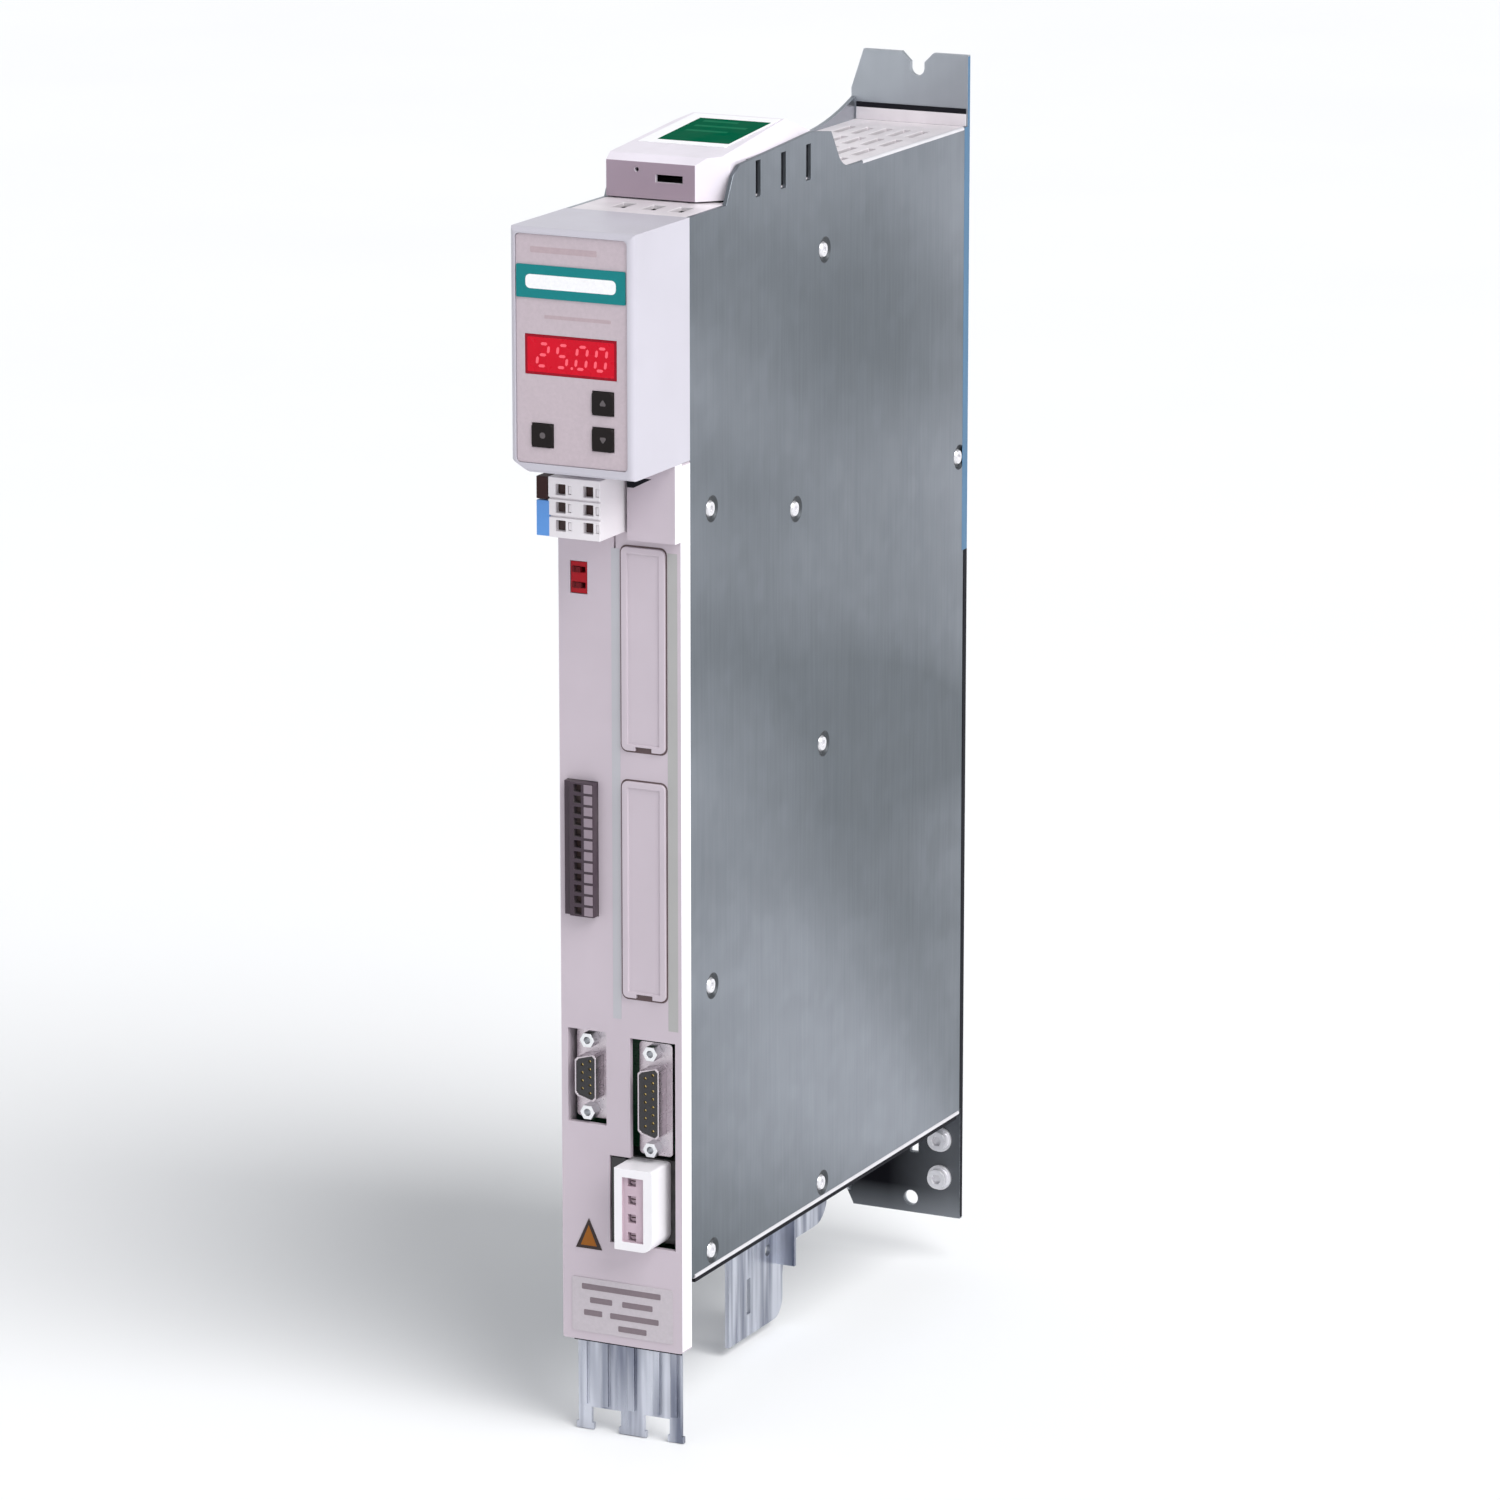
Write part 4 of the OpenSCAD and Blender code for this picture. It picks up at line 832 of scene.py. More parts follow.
def build_frame_shade_strips():
    """Strips of painted shade down both sides of the option slots."""
    low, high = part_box("slot_a_blank")
    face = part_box("name_label")[1].y
    top = high.z - 1 * MM
    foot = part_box("slot_b_blank")[0].z
    bm = bmesh.new()
    add_block(bm, (high.x + 0.6 * MM, face - 0.06 * MM, foot - 10 * MM),
              (high.x + 4.2 * MM, face + 0.02 * MM, top), 0)
    add_block(bm, (low.x - 4.0 * MM, face - 0.06 * MM, foot - 8 * MM),
              (low.x - 0.9 * MM, face + 0.02 * MM, top), 1)
    as_piece("frame_shade_strips", bm, "drive", ["margin", "flute"])


def build_slot_gap_shade():
    """Painted shade in the gap round each slot blank."""
    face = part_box("name_label")[1].y
    bm = bmesh.new()
    for low, high in (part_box("slot_a_blank"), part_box("slot_b_blank")):
        add_prism(bm, rounded_outline(low.x - 0.65 * MM, high.x + 0.5 * MM, low.z - 0.7 * MM,
                                      high.z + 0.55 * MM, 2.4 * MM), face - 0.1 * MM,
                  face + 0.02 * MM)
    as_piece("slot_gap_shade", bm, "drive", ["gap"])


def build_panel_foot_shadow():
    """Painted shadow on the frame beside the supply plug, under the operator panel."""
    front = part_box("front_frame")[0].y
    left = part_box("supply_plug")[1].x + 1.2 * MM
    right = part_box("slot_b_blank")[1].x - 3 * MM
    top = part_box("panel_housing")[0].z - 5 * MM
    foot = top - 3.4 * MM
    bm = bmesh.new()
    add_prism(bm, [(left, top), (right, top), (left + 2.4 * MM, foot), (left, foot)],
              front - 0.08 * MM, front + 0.02 * MM)
    as_piece("panel_foot_shadow", bm, "drive", ["painted_shadow"])


def build_amber_label():
    """A plain amber triangle with a dark border and no pictogram."""
    low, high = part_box("amber_label")
    centre = (low.x + high.x) / 2
    bm = bmesh.new()

    def triangle(inset):
        """The label's outline, moved inwards."""
        foot = inset * 1.7
        return [(low.x + foot, low.z + inset), (high.x - foot, low.z + inset),
                (centre, high.z - inset * 2.1)]
    add_prism(bm, triangle(0.0), low.y + 0.05 * MM, high.y, 1)
    add_prism(bm, triangle(1.1 * MM), low.y, low.y + 0.06 * MM, 0)
    as_piece("amber_label_foil", bm, "drive", ["amber", "dark_ink"],
             replaces=["amber_label"])


def build_name_field():
    """A grey field with plain printed bars where a name plate's lines would be."""
    low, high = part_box("name_label")
    bm = bmesh.new()
    add_prism(bm, rounded_outline(low.x, high.x, low.z, high.z, 0.8 * MM), low.y + 0.06 * MM,
              high.y, 0)
    rows = ((0.10, 0.10, 0.88), (0.34, 0.18, 0.40), (0.34, 0.50, 0.80), (0.58, 0.12, 0.30),
            (0.58, 0.38, 0.86), (0.80, 0.46, 0.74))
    wide = high.x - low.x
    tall = high.z - low.z
    for down, start, end in rows:
        z = high.z - (down + 0.06) * tall
        add_prism(bm, rounded_outline(low.x + start * wide, low.x + end * wide, z - 1.0 * MM,
                                      z + 1.0 * MM, 0.3 * MM, 2), low.y, low.y + 0.07 * MM, 1)
    as_piece("name_label_foil", bm, "drive", ["label", "grey_ink"],
             replaces=["name_label"])


# ---- operator panel ----

def build_panel(settings):
    """Operator panel: housing, foil, band, display and keys."""
    edges = settings.finish
    low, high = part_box("panel_housing")
    bm = cad_mesh("panel_housing")
    corner = [edge for edge in bm.edges if lies_on(edge, (0, high.x), (1, low.y))]
    made = bmesh.ops.bevel(bm, geom=corner, offset=edges.panel_corner, segments=6,
                           profile=0.5, affect="EDGES", clamp_overlap=True)
    # The rounded corner takes the pale finish: painted highlight.
    for face in made["faces"]:
        face.material_index = 1
    as_piece("panel_housing_skin", bm, "drive", ["panel", "pale"],
             edges.mould_edge, 3, replaces=["panel_housing"])
    dress("panel_face", "face", edges.fine_edge)
    build_band()
    build_display()
    build_print()
    low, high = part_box("panel_board")
    dress("panel_board", "board", edges.fine_edge,
          [(lambda c: c.y < high.y - 1.65 * MM, "black")])
    for node, direction in (("key_left", 0), ("key_up", 1), ("key_down", -1)):
        build_key(node, direction)


def build_band():
    """Coloured band with one plain white bar."""
    low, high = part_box("title_band")
    bm = bmesh.new()
    add_prism(bm, rounded_outline(low.x, high.x, low.z, high.z, 0.5 * MM), low.y + 0.04 * MM,
              high.y, 0)
    z = (low.z + high.z) / 2
    add_prism(bm, rounded_outline(low.x + 3.4 * MM, high.x - 3.4 * MM, z - 2.3 * MM,
                                  z + 2.3 * MM, 1.6 * MM), low.y, low.y + 0.05 * MM, 1)
    as_piece("title_band_foil", bm, "drive", ["band", "white_ink"],
             replaces=["title_band"])


def build_print():
    """Faint blank bars in place of the panel's small print."""
    face_low, face_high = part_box("panel_face")
    band_low, band_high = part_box("title_band")
    window_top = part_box("display_window")[1].z
    bm = bmesh.new()

    def bar(indent, z, half, radius):
        """A bar 24 mm long whose left end stands in from the band's."""
        left = band_low.x + indent
        add_prism(bm, rounded_outline(left, left + 24 * MM, z - half, z + half, radius, 3),
                  face_low.y - 0.03 * MM, face_low.y + 0.05 * MM)

    bar(5 * MM, (band_high.z + face_high.z) / 2, 1.0 * MM, 0.4 * MM)
    bar(10 * MM, (band_low.z + window_top) / 2, 0.6 * MM, 0.3 * MM)
    as_piece("panel_print", bm, "drive", ["rose_ink"])


SEGMENTS = {
    "0": "abcdef", "1": "bc", "2": "abged", "3": "abgcd", "4": "fgbc", "5": "afgcd",
    "6": "afgedc", "7": "abc", "8": "abcdefg", "9": "abcdfg",
}


def add_digit(bm, figure, x, z, wide, tall, y, lean):
    """One seven-segment figure with its foot's left corner at x, z."""
    bar = 0.13 * tall
    half = tall / 2
    spans = {
        "a": (0, tall, wide, tall), "g": (0, half, wide, half), "d": (0, 0, wide, 0),
        "f": (0, half, 0, tall), "b": (wide, half, wide, tall),
        "e": (0, 0, 0, half), "c": (wide, 0, wide, half),
    }
    for key in SEGMENTS[figure]:
        x1, z1, x2, z2 = spans[key]
        gap = bar * 0.62
        if z1 == z2:
            points = [(x1 + gap, z1), (x1 + gap + bar / 2, z1 + bar / 2),
                      (x2 - gap - bar / 2, z1 + bar / 2), (x2 - gap, z1),
                      (x2 - gap - bar / 2, z1 - bar / 2), (x1 + gap + bar / 2, z1 - bar / 2)]
        else:
            points = [(x1, z1 + gap), (x1 + bar / 2, z1 + gap + bar / 2),
                      (x1 + bar / 2, z2 - gap - bar / 2), (x1, z2 - gap),
                      (x1 - bar / 2, z2 - gap - bar / 2), (x1 - bar / 2, z1 + gap + bar / 2)]
        add_prism(bm, [(x + px + lean * pz, z + pz) for px, pz in points], y - 0.06 * MM, y)


def build_display():
    """Lit ground, the red window over it and four figures on the window's face."""
    low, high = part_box("display_module")
    bm = bmesh.new()
    add_block(bm, low, high)
    as_piece("display_ground", bm, "drive", ["lamp"], 0.15 * MM,
             replaces=["display_module"])
    dress("display_window", "window_rim", 0.1 * MM)
    low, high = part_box("display_window")
    rim = 0.9 * MM
    bm = bmesh.new()
    add_prism(bm, rounded_outline(low.x + rim, high.x - rim, low.z + rim, high.z - rim,
                                  0.5 * MM), low.y - 0.05 * MM, low.y + 0.02 * MM)
    as_piece("display_filter", bm, "drive", ["window"])
    bm = bmesh.new()
    tall = 0.55 * (high.z - low.z)
    wide = 0.50 * tall
    step = 7.0 * MM
    start = (low.x + high.x) / 2 - 1.5 * step - wide / 2
    foot = (low.z + high.z) / 2 - tall / 2
    face = low.y - 0.05 * MM
    for place, figure in enumerate("2500"):
        add_digit(bm, figure, start + place * step, foot, wide, tall, face, 0.12)
    add_rod(bm, (start + 2 * step - 1.3 * MM, face, foot), "Y", 0.45 * MM, 0.08 * MM, sides=12)
    as_piece("display_figures", bm, "drive", ["digit"])


def build_key(node, direction):
    """A dished key with a small arrow up (1) or down (-1), or a dot (0)."""
    as_piece(node + "_skin", cad_mesh(node, whole_faces=False), BODY_OF[node], ["key"],
             replaces=[node])
    centre = middle(node)
    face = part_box(node)[0].y + 0.36 * MM
    bm = bmesh.new()
    size = 1.5 * MM
    if direction:
        outline = [(centre.x - size, centre.z - direction * 0.8 * MM),
                   (centre.x + size, centre.z - direction * 0.8 * MM),
                   (centre.x, centre.z + direction * 1.4 * MM)]
    else:
        outline = rounded_outline(centre.x - 1 * MM, centre.x + 1 * MM, centre.z - 1 * MM,
                                  centre.z + 1 * MM, 0.9 * MM)
    add_prism(bm, outline, face, face + 0.1 * MM)
    as_piece(node + "_mark", bm, BODY_OF[node], ["key_mark"])


# ---- switches, plugs and ports ----

def build_switches(settings):
    """Red two-way switch with its darker sliders."""
    dress("dip_housing", "red", settings.finish.fine_edge)
    for slider in ("dip_slider_upper", "dip_slider_lower"):
        dress(slider, "slider", 0.08 * MM)


def build_plugs(settings):
    """The three terminal plugs and their headers, with metal contacts."""
    edges = settings.finish
    for header, look in (("io_header", "dark"), ("supply_header", "cream"),
                         ("stop_header", "black")):
        plug = header.replace("header", "plug")
        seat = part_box(plug)[1].y
        dress(header, look, edges.fine_edge,
              [(lambda c, seat=seat, box=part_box(plug): (
                  c.y < seat - 0.2 * MM and box[0].x < c.x < box[1].x), "gold")])
    dress("io_plug", "dark", 0.18 * MM)
    build_io_levers()
    low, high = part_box("supply_plug")
    # The plug's left faces take the blue: painted reflection.
    dress("supply_plug", "cream", 0.22 * MM,
          [(lambda c: c.x < low.x + 0.3 * MM, "blue")])
    build_supply_flank()
    build_supply_parts()
    low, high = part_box("stop_plug")
    # Faces inside the plug's front recess take a darker colour: painted shade.
    dress("stop_plug", "pale", 0.30 * MM, [(lambda c: (
        low.y + 0.4 * MM < c.y < low.y + 6 * MM and low.x + 1 * MM < c.x < high.x - 1 * MM
        and low.z + 1 * MM < c.z < high.z - 1 * MM), "rose")], segments=3)
    build_stop_screws()


def build_supply_flank():
    """Painted blue reflection on the supply plug's left flank, with painted shade over it."""
    low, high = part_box("supply_plug")
    bm = bmesh.new()
    add_block(bm, (low.x - 0.1 * MM, low.y - 0.15 * MM, low.z + 0.2 * MM),
              (low.x + 4.6 * MM, low.y + 6 * MM, low.z + 12 * MM), 0)
    add_block(bm, (low.x - 0.1 * MM, low.y - 0.12 * MM, low.z + 12.4 * MM),
              (low.x + 4.0 * MM, low.y + 6 * MM, high.z - 0.1 * MM), 1)
    as_piece("supply_plug_flank", bm, "supply_plug", ["blue", "entry"], 0.25 * MM)


def build_io_levers():
    """A release lever at each of the twelve ways, with a dark patch in its wire opening as painted
    shade.
    """
    low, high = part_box("io_plug")
    centre = middle("io_plug").x
    ways = 12
    pitch = (high.z - low.z) / ways
    bm = bmesh.new()
    for way in range(ways):
        z = low.z + (way + 0.5) * pitch
        add_block(bm, (high.x - 3.4 * MM, low.y - 0.25 * MM, z - 1.45 * MM),
                  (high.x - 0.3 * MM, low.y + 1.3 * MM, z + 1.45 * MM), 0)
        add_block(bm, (centre - 1.5 * MM, low.y + 2.0 * MM, z - 1.2 * MM),
                  (centre + 1.1 * MM, low.y + 2.25 * MM, z + 1.2 * MM), 1)
    as_piece("io_plug_levers", bm, "io_plug", ["mid", "entry"], 0.1 * MM)


def build_supply_parts():
    """Dark blocks deep in the supply plug's wire entries as painted shade, with a release tab
    beside each.
    """
    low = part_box("supply_plug")[0]
    row_pitch = 6 * MM
    entry_depth = 2.2 * MM
    bm = bmesh.new()
    for x in (low.x + 8.8 * MM, low.x + 18.9 * MM):
        for row in (-1, 0, 1):
            z = middle("supply_plug").z + row * row_pitch
            add_block(bm, (x - 1.9 * MM, low.y + entry_depth, z - 1.9 * MM),
                      (x + 1.7 * MM, low.y + 8.05 * MM, z + 1.9 * MM), 0)
            add_block(bm, (x + 2.7 * MM, low.y + 0.35 * MM, z - 1.25 * MM),
                      (x + 3.7 * MM, low.y + 1.25 * MM, z + 1.25 * MM), 1)
    as_piece("supply_plug_contacts", bm, "supply_plug", ["entry", "cream"],
             0.1 * MM)


def build_stop_screws():
    """Clamp screws in the safe-stop plug, in the recess's painted shade, each with a dark line as
    painted shade in its slot.
    """
    low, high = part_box("stop_plug")
    ways = 4
    wall = 1.5 * MM
    pitch = (high.z - low.z - 2 * wall) / ways
    x = low.x + 6.1 * MM
    bm = bmesh.new()
    for way in range(ways):
        z = low.z + wall + (way + 0.5) * pitch
        add_rod(bm, (x, low.y + 3.2 * MM, z), "Y", 1.35 * MM, 0.9 * MM, sides=20)
        add_block(bm, (x - 1.1 * MM, low.y + 2.6 * MM, z - 0.2 * MM),
                  (x + 1.1 * MM, low.y + 2.8 * MM, z + 0.2 * MM), 1)
    as_piece("stop_plug_screws", bm, "stop_plug", ["rose", "entry"], 0.08 * MM)


def build_ports(settings):
    """Two D-shaped ports with gilt contacts and jack screws."""
    pin_pitch = 2.77 * MM
    row_offset = 1.42 * MM
    for port, long_row in (("serial", 5), ("encoder", 8)):
        dress(port + "_shell", "port", 0.1 * MM)
        dress(port + "_insert", "black", 0.08 * MM)
        centre = middle(port + "_shell")
        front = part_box(port + "_insert")[0].y
        bm = bmesh.new()
        for row, count in ((1, long_row), (-1, long_row - 1)):
            for way in range(count):
                z = centre.z + (way - (count - 1) / 2) * pin_pitch
                add_rod(bm, (centre.x + row * row_offset, front + 1.5 * MM, z), "Y", 0.45 * MM,
                        1.6 * MM, sides=12)
        as_piece(port + "_contacts", bm, "drive", ["gold"])
    dress("jack_screws", "steel", settings.finish.fine_edge)


# ---- shield plates and terminal ----

def build_shields(settings):
    """Cable shield plates under the drive, a painted shadow on the comb plate under the frame,
    their screws and the motor terminal.
    """
    edges = settings.finish
    for node in ("control_shield", "motor_shield"):
        dress(node, "shield", edges.sheet_edge)
    low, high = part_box("control_shield")
    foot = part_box("front_frame")[0].z
    bm = bmesh.new()
    # Near-black strip on the comb plate just under the frame: painted shadow.
    add_block(bm, (low.x, low.y - 0.2 * MM, foot - 1.8 * MM),
              (high.x, low.y + 0.1 * MM, foot + 1 * MM))
    as_piece("comb_shadow", bm, "drive", ["painted_shadow"])
    dress("shield_screws", "steel", edges.fine_edge)
    dress("motor_terminal", "terminal", edges.mould_edge)


# ---- DC bus ----

def build_bus(settings):
    """Bus cover with its label, and the bars, clamps and base under it."""
    edges = settings.finish
    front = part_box("bus_cover")[0].y + 0.3 * MM
    # The cover's front faces take a darker colour: painted shade.
    dress("bus_cover", "hood", 0.5 * MM, [(lambda c: c.y < front, "hood_front")], segments=3)
    add_slot_shade()
    dress("bus_label", "white_ink", 0.05 * MM)
    build_bus_print()
    dress("bus_base", "black", edges.mould_edge)
    for bar in ("bus_bar_front", "bus_bar_middle", "bus_bar_rear"):
        dress(bar, "copper", 0.25 * MM)
    dress("bus_clamps", "brass", edges.fine_edge)
    dress("bus_screws", "steel", edges.fine_edge)
    dress("hinge_pin", "steel", edges.fine_edge)


def add_slot_shade():
    """Dark strip behind the bus bars' side slots: painted shade in the slots."""
    low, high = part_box("bus_cover")
    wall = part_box("side_cover")
    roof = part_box("top_plate")[1].z
    bm = bmesh.new()
    add_block(bm, (high.x + 0.1 * MM, low.y + 20 * MM, roof + 0.2 * MM),
              (high.x + 0.35 * MM, high.y - 14 * MM, wall[1].z - 3 * MM))
    as_piece("slot_shade", bm, "drive", ["painted_shadow"])


def build_bus_print():
    """Green field with faint blank lines on the bus cover's label."""
    low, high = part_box("bus_label")
    wide = high.x - low.x
    deep = high.y - low.y
    foil = 0.3 * MM
    slope = (high.z - low.z - foil) / deep
    bm = bmesh.new()

    def field(x_from, x_to, y_from, y_to, proud, look):
        """A flat patch on the sloping label, placed by shares of its width and depth."""
        corners = [(low.x + x * wide, low.y + y * deep)
                   for x, y in ((x_from, y_from), (x_to, y_from), (x_to, y_to), (x_from, y_to))]
        rings = [[bm.verts.new((x, y, low.z + foil + (y - low.y) * slope + rise))
                  for x, y in corners] for rise in (-0.1 * MM, proud)]
        faces = [bm.faces.new(rings[1]), bm.faces.new(list(reversed(rings[0])))]
        for k in range(4):
            n = (k + 1) % 4
            faces.append(bm.faces.new((rings[0][k], rings[0][n], rings[1][n], rings[1][k])))
        for face in faces:
            face.material_index = look

    field(0.16, 0.98, 0.10, 0.86, 0.05 * MM, 0)
    for share, start, end in ((0.74, 0.26, 0.66), (0.58, 0.26, 0.86), (0.42, 0.26, 0.74)):
        field(start, end, share, share + 0.05, 0.08 * MM, 1)
    as_piece("bus_label_print", bm, "bus_cover", ["green", "green_line"])


# ---- inside ----

def add_parts(bm, low, high, seed, count, depth):
    """Small boxed and round parts in front of the plane y = 0, clear of one another."""
    chance = random.Random(seed)
    taken = []
    tries = 0
    while len(taken) < count and tries < 4000:
        tries += 1
        wide = chance.uniform(1.5, 6.5) * MM
        tall = chance.uniform(1.5, 8.0) * MM
        x = chance.uniform(low.x + wide, high.x - wide)
        z = chance.uniform(low.z + tall, high.z - tall)
        if any(abs(x - a) < (wide + b) * 0.62 and abs(z - c) < (tall + d) * 0.62
               for a, b, c, d in taken):
            continue
        taken.append((x, wide, z, tall))
        thick = chance.uniform(0.8, depth / MM) * MM
        if chance.random() < 0.25:
            add_rod(bm, (x, -thick / 2, z), "Y", min(wide, tall) / 2, thick, 1, sides=20)
        else:
            add_block(bm, (x - wide / 2, -thick, z - tall / 2),
                      (x + wide / 2, 0.0, z + tall / 2), 0)
            for side in (-1, 1):
                pins = max(2, int(tall / (1.3 * MM)))
                for pin in range(pins):
                    pz = z + (pin - (pins - 1) / 2) * tall / pins
                    px = x + side * (wide / 2 + 0.3 * MM)
                    add_block(bm, (px - 0.35 * MM, -0.3 * MM, pz - 0.2 * MM),
                              (px + 0.35 * MM, 0.0, pz + 0.2 * MM), 2)


def build_inside(settings):
    """Boards, power parts, heat sink and fan."""
    edges = settings.finish
    dress("control_board", "board", edges.fine_edge)
    power_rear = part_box("power_board")[1].y
    dress("power_board", "board", edges.fine_edge,
          [(lambda c: c.y < power_rear - 1.65 * MM, "black")])
    build_board_parts()
    for node, look, edge in (
            ("heat_sink", "aluminium", 0.15 * MM), ("power_module", "black", 0.3 * MM),
            ("board_spacers", "brass", 0.12 * MM), ("fan_frame", "black", 0.3 * MM),
            ("fan_rotor", "dark", 0.15 * MM)):
        dress(node, look, edge)
    build_capacitors()
    build_transformer()
    build_ribbon()


def build_board_parts():
    """Parts on the control board's rear face, away from the ports and headers."""
    low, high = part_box("control_board")
    bm = bmesh.new()
    add_parts(bm, low, high, seed=7, count=46, depth=1.6 * MM)
    bmesh.ops.scale(bm, vec=(1, -1, 1), verts=bm.verts)
    bmesh.ops.reverse_faces(bm, faces=bm.faces)
    bmesh.ops.translate(bm, vec=(0, high.y, 0), verts=bm.verts)
    as_piece("control_board_parts", bm, "drive", ["black", "steel", "steel"],
             0.06 * MM, 1)


def build_capacitors():
    """Two large cans with crimped ends and a scored vent."""
    low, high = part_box("capacitors")
    radius = (high.x - low.x) / 2
    deep = high.y - low.y
    score = radius - 5 * MM
    bm = bmesh.new()
    for z in (low.z + radius, high.z - radius):
        profile = [
            (radius - 1.0 * MM, 0), (radius, 0.8 * MM), (radius, 5 * MM),
            (radius - 1.1 * MM, 6 * MM), (radius - 1.1 * MM, 7.2 * MM), (radius, 8.2 * MM),
            (radius, deep - 2 * MM), (radius - 1.2 * MM, deep - 0.5 * MM),
            (radius - 2.4 * MM, deep - 0.4 * MM), (radius - 2.8 * MM, deep - 1.0 * MM)]
        add_lathe(bm, (0, high.y, z), "Y", profile, lambda band: 1 if band > 6 else 0)
        for turn in (0, 90):
            reach_x = score * math.cos(math.radians(turn)) + 0.3 * MM
            reach_z = score * math.sin(math.radians(turn)) + 0.3 * MM
            add_block(bm, (-reach_x, low.y + 0.75 * MM, z - reach_z),
                      (reach_x, low.y + 1.02 * MM, z + reach_z), 2)
    as_piece("capacitor_cans", bm, "drive", ["sleeve", "aluminium", "ferrite"],
             replaces=["capacitors"])


def build_transformer():
    """Ferrite core with a taped winding."""
    low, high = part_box("transformer")
    flange = 7 * MM
    dress("transformer", "ferrite", 0.4 * MM,
          [(lambda c: low.z + flange < c.z < high.z - flange, "tape")])


def build_ribbon():
    """Flat cable with a groove between its cores."""
    low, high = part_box("ribbon_cable")
    cores = 16
    step = (high.x - low.x) / cores
    thick = high.z - low.z
    crests = []
    for core in range(cores):
        x = low.x + core * step
        crests += [x + 0.12 * step, x + 0.88 * step]
    top = [(x, high.z) for x in crests]
    bottom = [(x, low.z) for x in reversed(crests)]
    ridged = []
    for line, way in ((top, 1), (bottom, -1)):
        for index, (x, z) in enumerate(line):
            ridged.append((x, z))
            if index % 2 and index < len(line) - 1:
                ridged.append((x + way * 0.12 * step, z - way * 0.35 * thick))
    bm = bmesh.new()
    add_prism(bm, list(reversed(ridged)), low.y, high.y)
    as_piece("ribbon_cable_cores", bm, "drive", ["ribbon"],
             replaces=["ribbon_cable"])


# ---- stage ----

def build_stage(settings):
    """Pale floor, soft lights and the camera."""
    build_floor()
    build_world()
    build_lights()
    build_camera(settings.view)


def build_floor():
    """Plain pale floor just under the lowest shield plate."""
    bm = bmesh.new()
    bmesh.ops.create_grid(bm, x_segments=1, y_segments=1, size=6.0,
                          matrix=Matrix.Translation((0, 0, CAD_BOX[0][2] - 0.2 * MM)))
    mesh = bpy.data.meshes.new("floor")
    bm.to_mesh(mesh)
    bm.free()
    floor = bpy.data.objects.new("floor", mesh)
    bpy.context.scene.collection.objects.link(floor)
    material, graph, shader = start_material("Pale floor")
    graph.feed(shader.inputs["Base Color"], graph.blend(
        graph.noise(graph.place(), 3.0), (0.89, 0.89, 0.90, 1), (0.93, 0.93, 0.93, 1)))
    shader.inputs["Roughness"].default_value = 0.8
    mesh.materials.append(material)


def build_world():
    """Soft sky, brighter at the horizon than overhead, shown without a film curve."""
    world = bpy.data.worlds.new("Studio")
    world.use_nodes = True
    sky = world.node_tree.nodes["Background"]
    sky.inputs["Color"].default_value = (0.95, 0.97, 1.0, 1.0)
    graph = Graph(world.node_tree)
    height = graph.add("ShaderNodeSeparateXYZ", {
        0: graph.add("ShaderNodeTexCoord").outputs["Generated"]}).outputs["Z"]
    graph.feed(sky.inputs["Strength"], graph.stretch(height, 0.0, 0.75, 1.05, 0.42))
    bpy.context.scene.world = world
    bpy.context.scene.view_settings.view_transform = "Standard"


def build_lights():
    """A broad soft sun from the front right and a faint panel on the right."""
    sun = bpy.data.lights.new("key", "SUN")
    sun.energy = 2.5
    sun.angle = math.radians(40)
    key = bpy.data.objects.new("key", sun)
    key.rotation_euler = aim((-0.62, 0.26, -0.74))
    bpy.context.scene.collection.objects.link(key)
    add_light("side_panel", (1.9, -0.2, 0.9), (0.0, -0.12, 0.18), 1.2, 5.0)


def build_camera(view):
    """The camera, on its place and turned by its two angles."""
    camera = bpy.data.objects.new("camera", bpy.data.cameras.new("camera"))
    camera.data.lens = view.lens
    camera.data.sensor_width = 36.0
    camera.data.clip_end = 30.0
    camera.location = view.place
    camera.rotation_euler = aim((-math.sin(view.turn) * math.cos(view.dip),
                                 math.cos(view.turn) * math.cos(view.dip),
                                 -math.sin(view.dip)))
    bpy.context.scene.collection.objects.link(camera)
    bpy.context.scene.camera = camera


def aim(direction):
    """The turn that makes a light or camera look along a direction."""
    return Vector(direction).to_track_quat("-Z", "Y").to_euler()


def add_light(name, place, target, size, power):
    """A square soft light aimed at a point."""
    lamp = bpy.data.lights.new(name, "AREA")
    lamp.size = size
    lamp.energy = power
    light = bpy.data.objects.new(name, lamp)
    light.location = place
    light.rotation_euler = aim(Vector(target) - Vector(place))
    bpy.context.scene.collection.objects.link(light)


# ---- the add-on ----

class DriveSettings(bpy.types.PropertyGroup):
    """Everything the user can set."""

    colours: bpy.props.PointerProperty(type=DriveColours, name="Colours",
                                       description="Base colours")
    finish: bpy.props.PointerProperty(type=DriveFinish, name="Finish",
                                      description="Fine detail")
    view: bpy.props.PointerProperty(type=DriveView, name="View", description="Camera")


class DRIVE_OT_finishes(bpy.types.Operator):
    """Make every material"""

    bl_idname = "drive.finishes"
    bl_label = "Finishes"

    def execute(self, context):
        finish.update(make_materials(context.scene.servo_drive.colours))
        return {"FINISHED"}


class DRIVE_OT_stage(bpy.types.Operator):
    """Make the floor, the lights and the camera"""

    bl_idname = "drive.stage"
    bl_label = "Stage"

    def execute(self, context):
        build_stage(context.scene.servo_drive)
        return {"FINISHED"}


class DRIVE_OT_housing(bpy.types.Operator):
    """Make the sheet-metal housing and its screws"""

    bl_idname = "drive.housing"
    bl_label = "Housing"

    def execute(self, context):
        build_housing(context.scene.servo_drive)
        return {"FINISHED"}


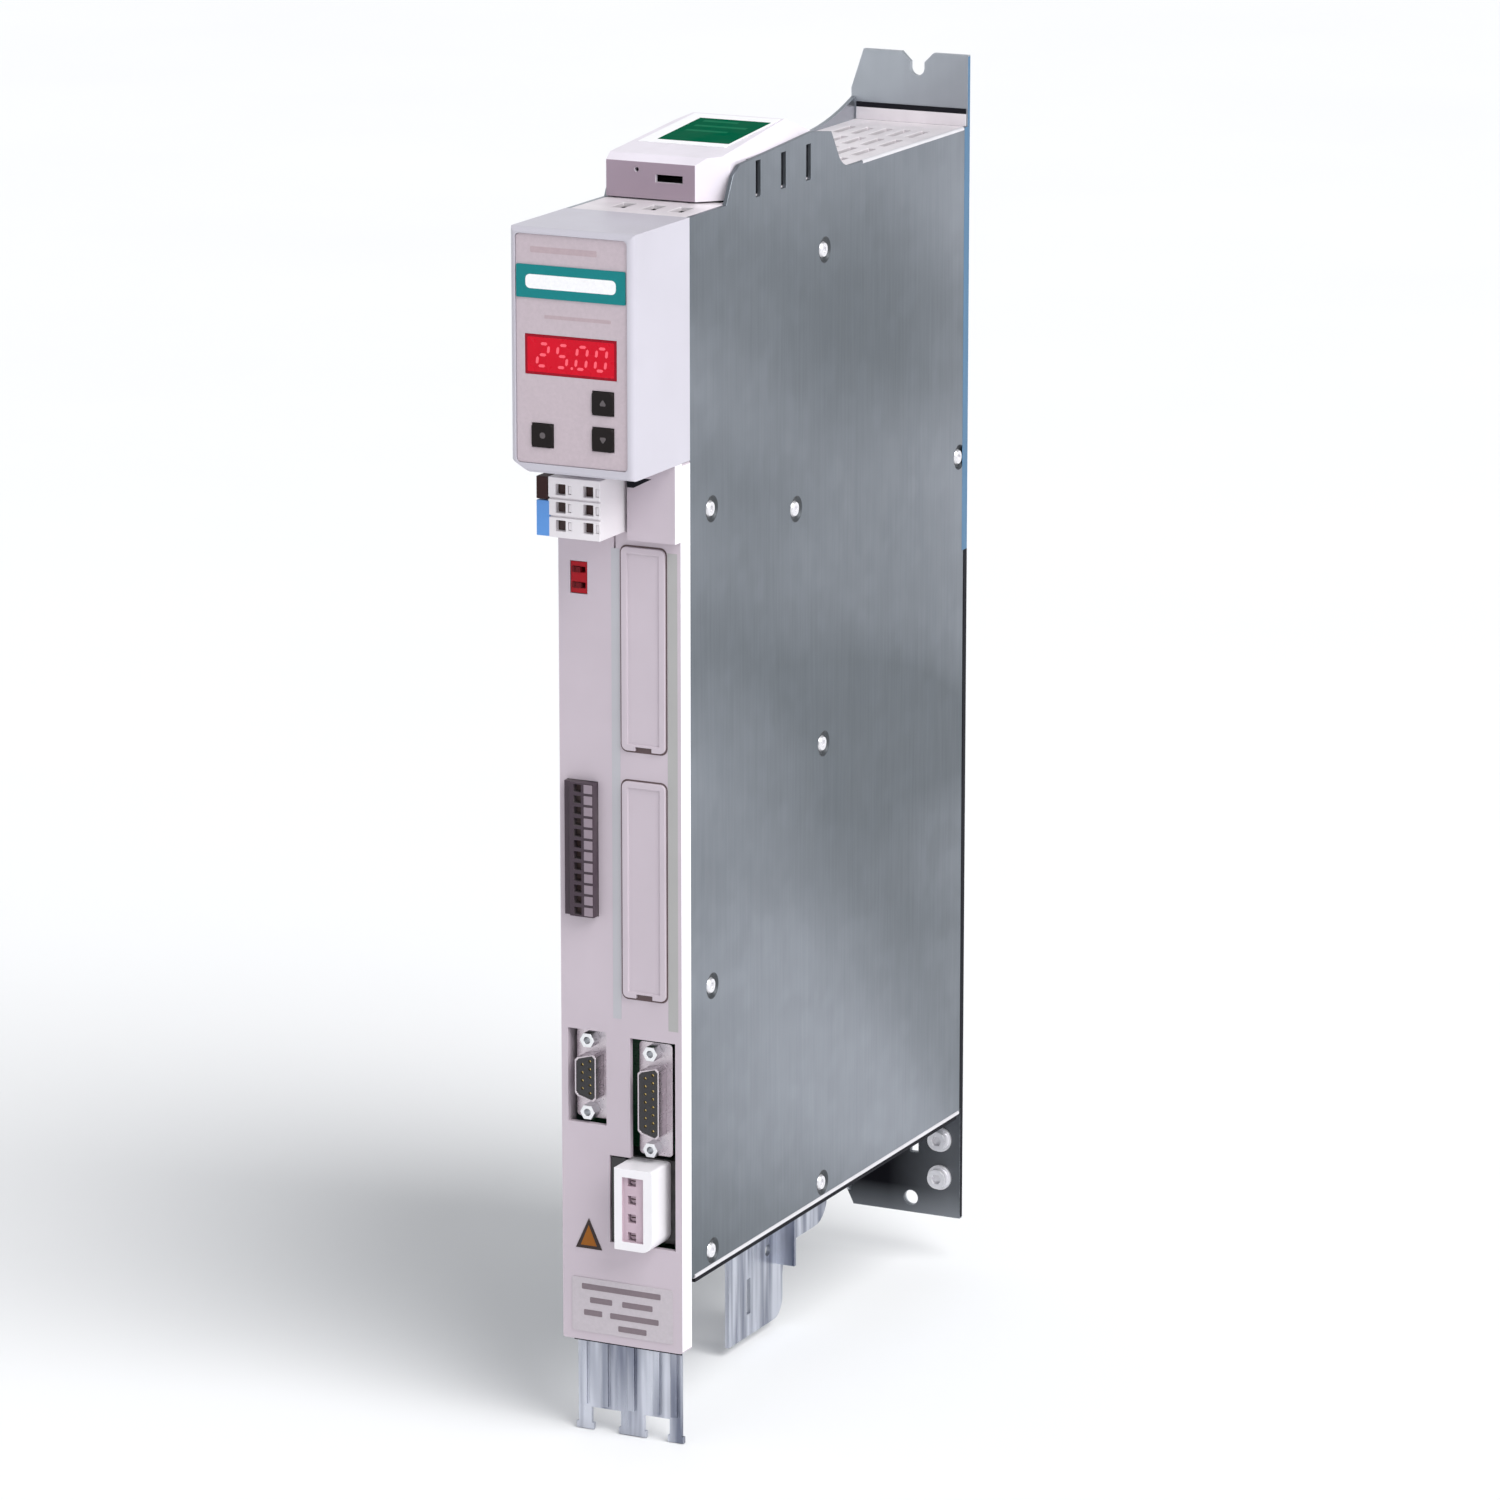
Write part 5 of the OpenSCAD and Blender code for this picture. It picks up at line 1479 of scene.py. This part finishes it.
class DRIVE_OT_front(bpy.types.Operator):
    """Make the front frame, the slot blanks and the labels"""

    bl_idname = "drive.front"
    bl_label = "Front frame"

    def execute(self, context):
        build_front(context.scene.servo_drive)
        return {"FINISHED"}


class DRIVE_OT_panel(bpy.types.Operator):
    """Make the operator panel with its display and keys"""

    bl_idname = "drive.panel"
    bl_label = "Operator panel"

    def execute(self, context):
        build_panel(context.scene.servo_drive)
        return {"FINISHED"}


class DRIVE_OT_switches(bpy.types.Operator):
    """Make the two-way switch"""

    bl_idname = "drive.switches"
    bl_label = "Switches"

    def execute(self, context):
        build_switches(context.scene.servo_drive)
        return {"FINISHED"}


class DRIVE_OT_plugs(bpy.types.Operator):
    """Make the terminal plugs and their headers"""

    bl_idname = "drive.plugs"
    bl_label = "Plugs"

    def execute(self, context):
        build_plugs(context.scene.servo_drive)
        return {"FINISHED"}


class DRIVE_OT_ports(bpy.types.Operator):
    """Make the D-shaped ports"""

    bl_idname = "drive.ports"
    bl_label = "Ports"

    def execute(self, context):
        build_ports(context.scene.servo_drive)
        return {"FINISHED"}


class DRIVE_OT_shields(bpy.types.Operator):
    """Make the shield plates and the motor terminal"""

    bl_idname = "drive.shields"
    bl_label = "Shield plates"

    def execute(self, context):
        build_shields(context.scene.servo_drive)
        return {"FINISHED"}


class DRIVE_OT_bus(bpy.types.Operator):
    """Make the DC bus and its cover"""

    bl_idname = "drive.bus"
    bl_label = "DC bus"

    def execute(self, context):
        build_bus(context.scene.servo_drive)
        return {"FINISHED"}


class DRIVE_OT_inside(bpy.types.Operator):
    """Make the boards, power parts, heat sink and fan"""

    bl_idname = "drive.inside"
    bl_label = "Inside"

    def execute(self, context):
        build_inside(context.scene.servo_drive)
        return {"FINISHED"}


STEPS = ("finishes", "stage", "housing", "front", "panel", "switches", "plugs", "ports",
         "shields", "bus", "inside")


class DRIVE_PT_panel(bpy.types.Panel):
    """Lists the steps that build the drive"""

    bl_idname = "DRIVE_PT_panel"
    bl_label = "Servo drive"
    bl_space_type = "VIEW_3D"
    bl_region_type = "UI"
    bl_category = "Servo drive"

    def draw(self, context):
        for step in STEPS:
            self.layout.operator("drive." + step)


CLASSES = (
    DriveColours, DriveFinish, DriveView, DriveSettings, DRIVE_OT_finishes, DRIVE_OT_stage,
    DRIVE_OT_housing, DRIVE_OT_front, DRIVE_OT_panel, DRIVE_OT_switches, DRIVE_OT_plugs,
    DRIVE_OT_ports, DRIVE_OT_shields, DRIVE_OT_bus, DRIVE_OT_inside, DRIVE_PT_panel,
)


def register():
    """Makes the classes and the settings known to Blender."""
    for cls in CLASSES:
        bpy.utils.register_class(cls)
    bpy.types.Scene.servo_drive = bpy.props.PointerProperty(type=DriveSettings)


def unregister():
    """Takes the settings and the classes away again."""
    del bpy.types.Scene.servo_drive
    for cls in reversed(CLASSES):
        bpy.utils.unregister_class(cls)


def main():
    """Builds everything in order."""
    register()
    for step in STEPS:
        getattr(bpy.ops.drive, step)()


if __name__ == "__main__":
    main()
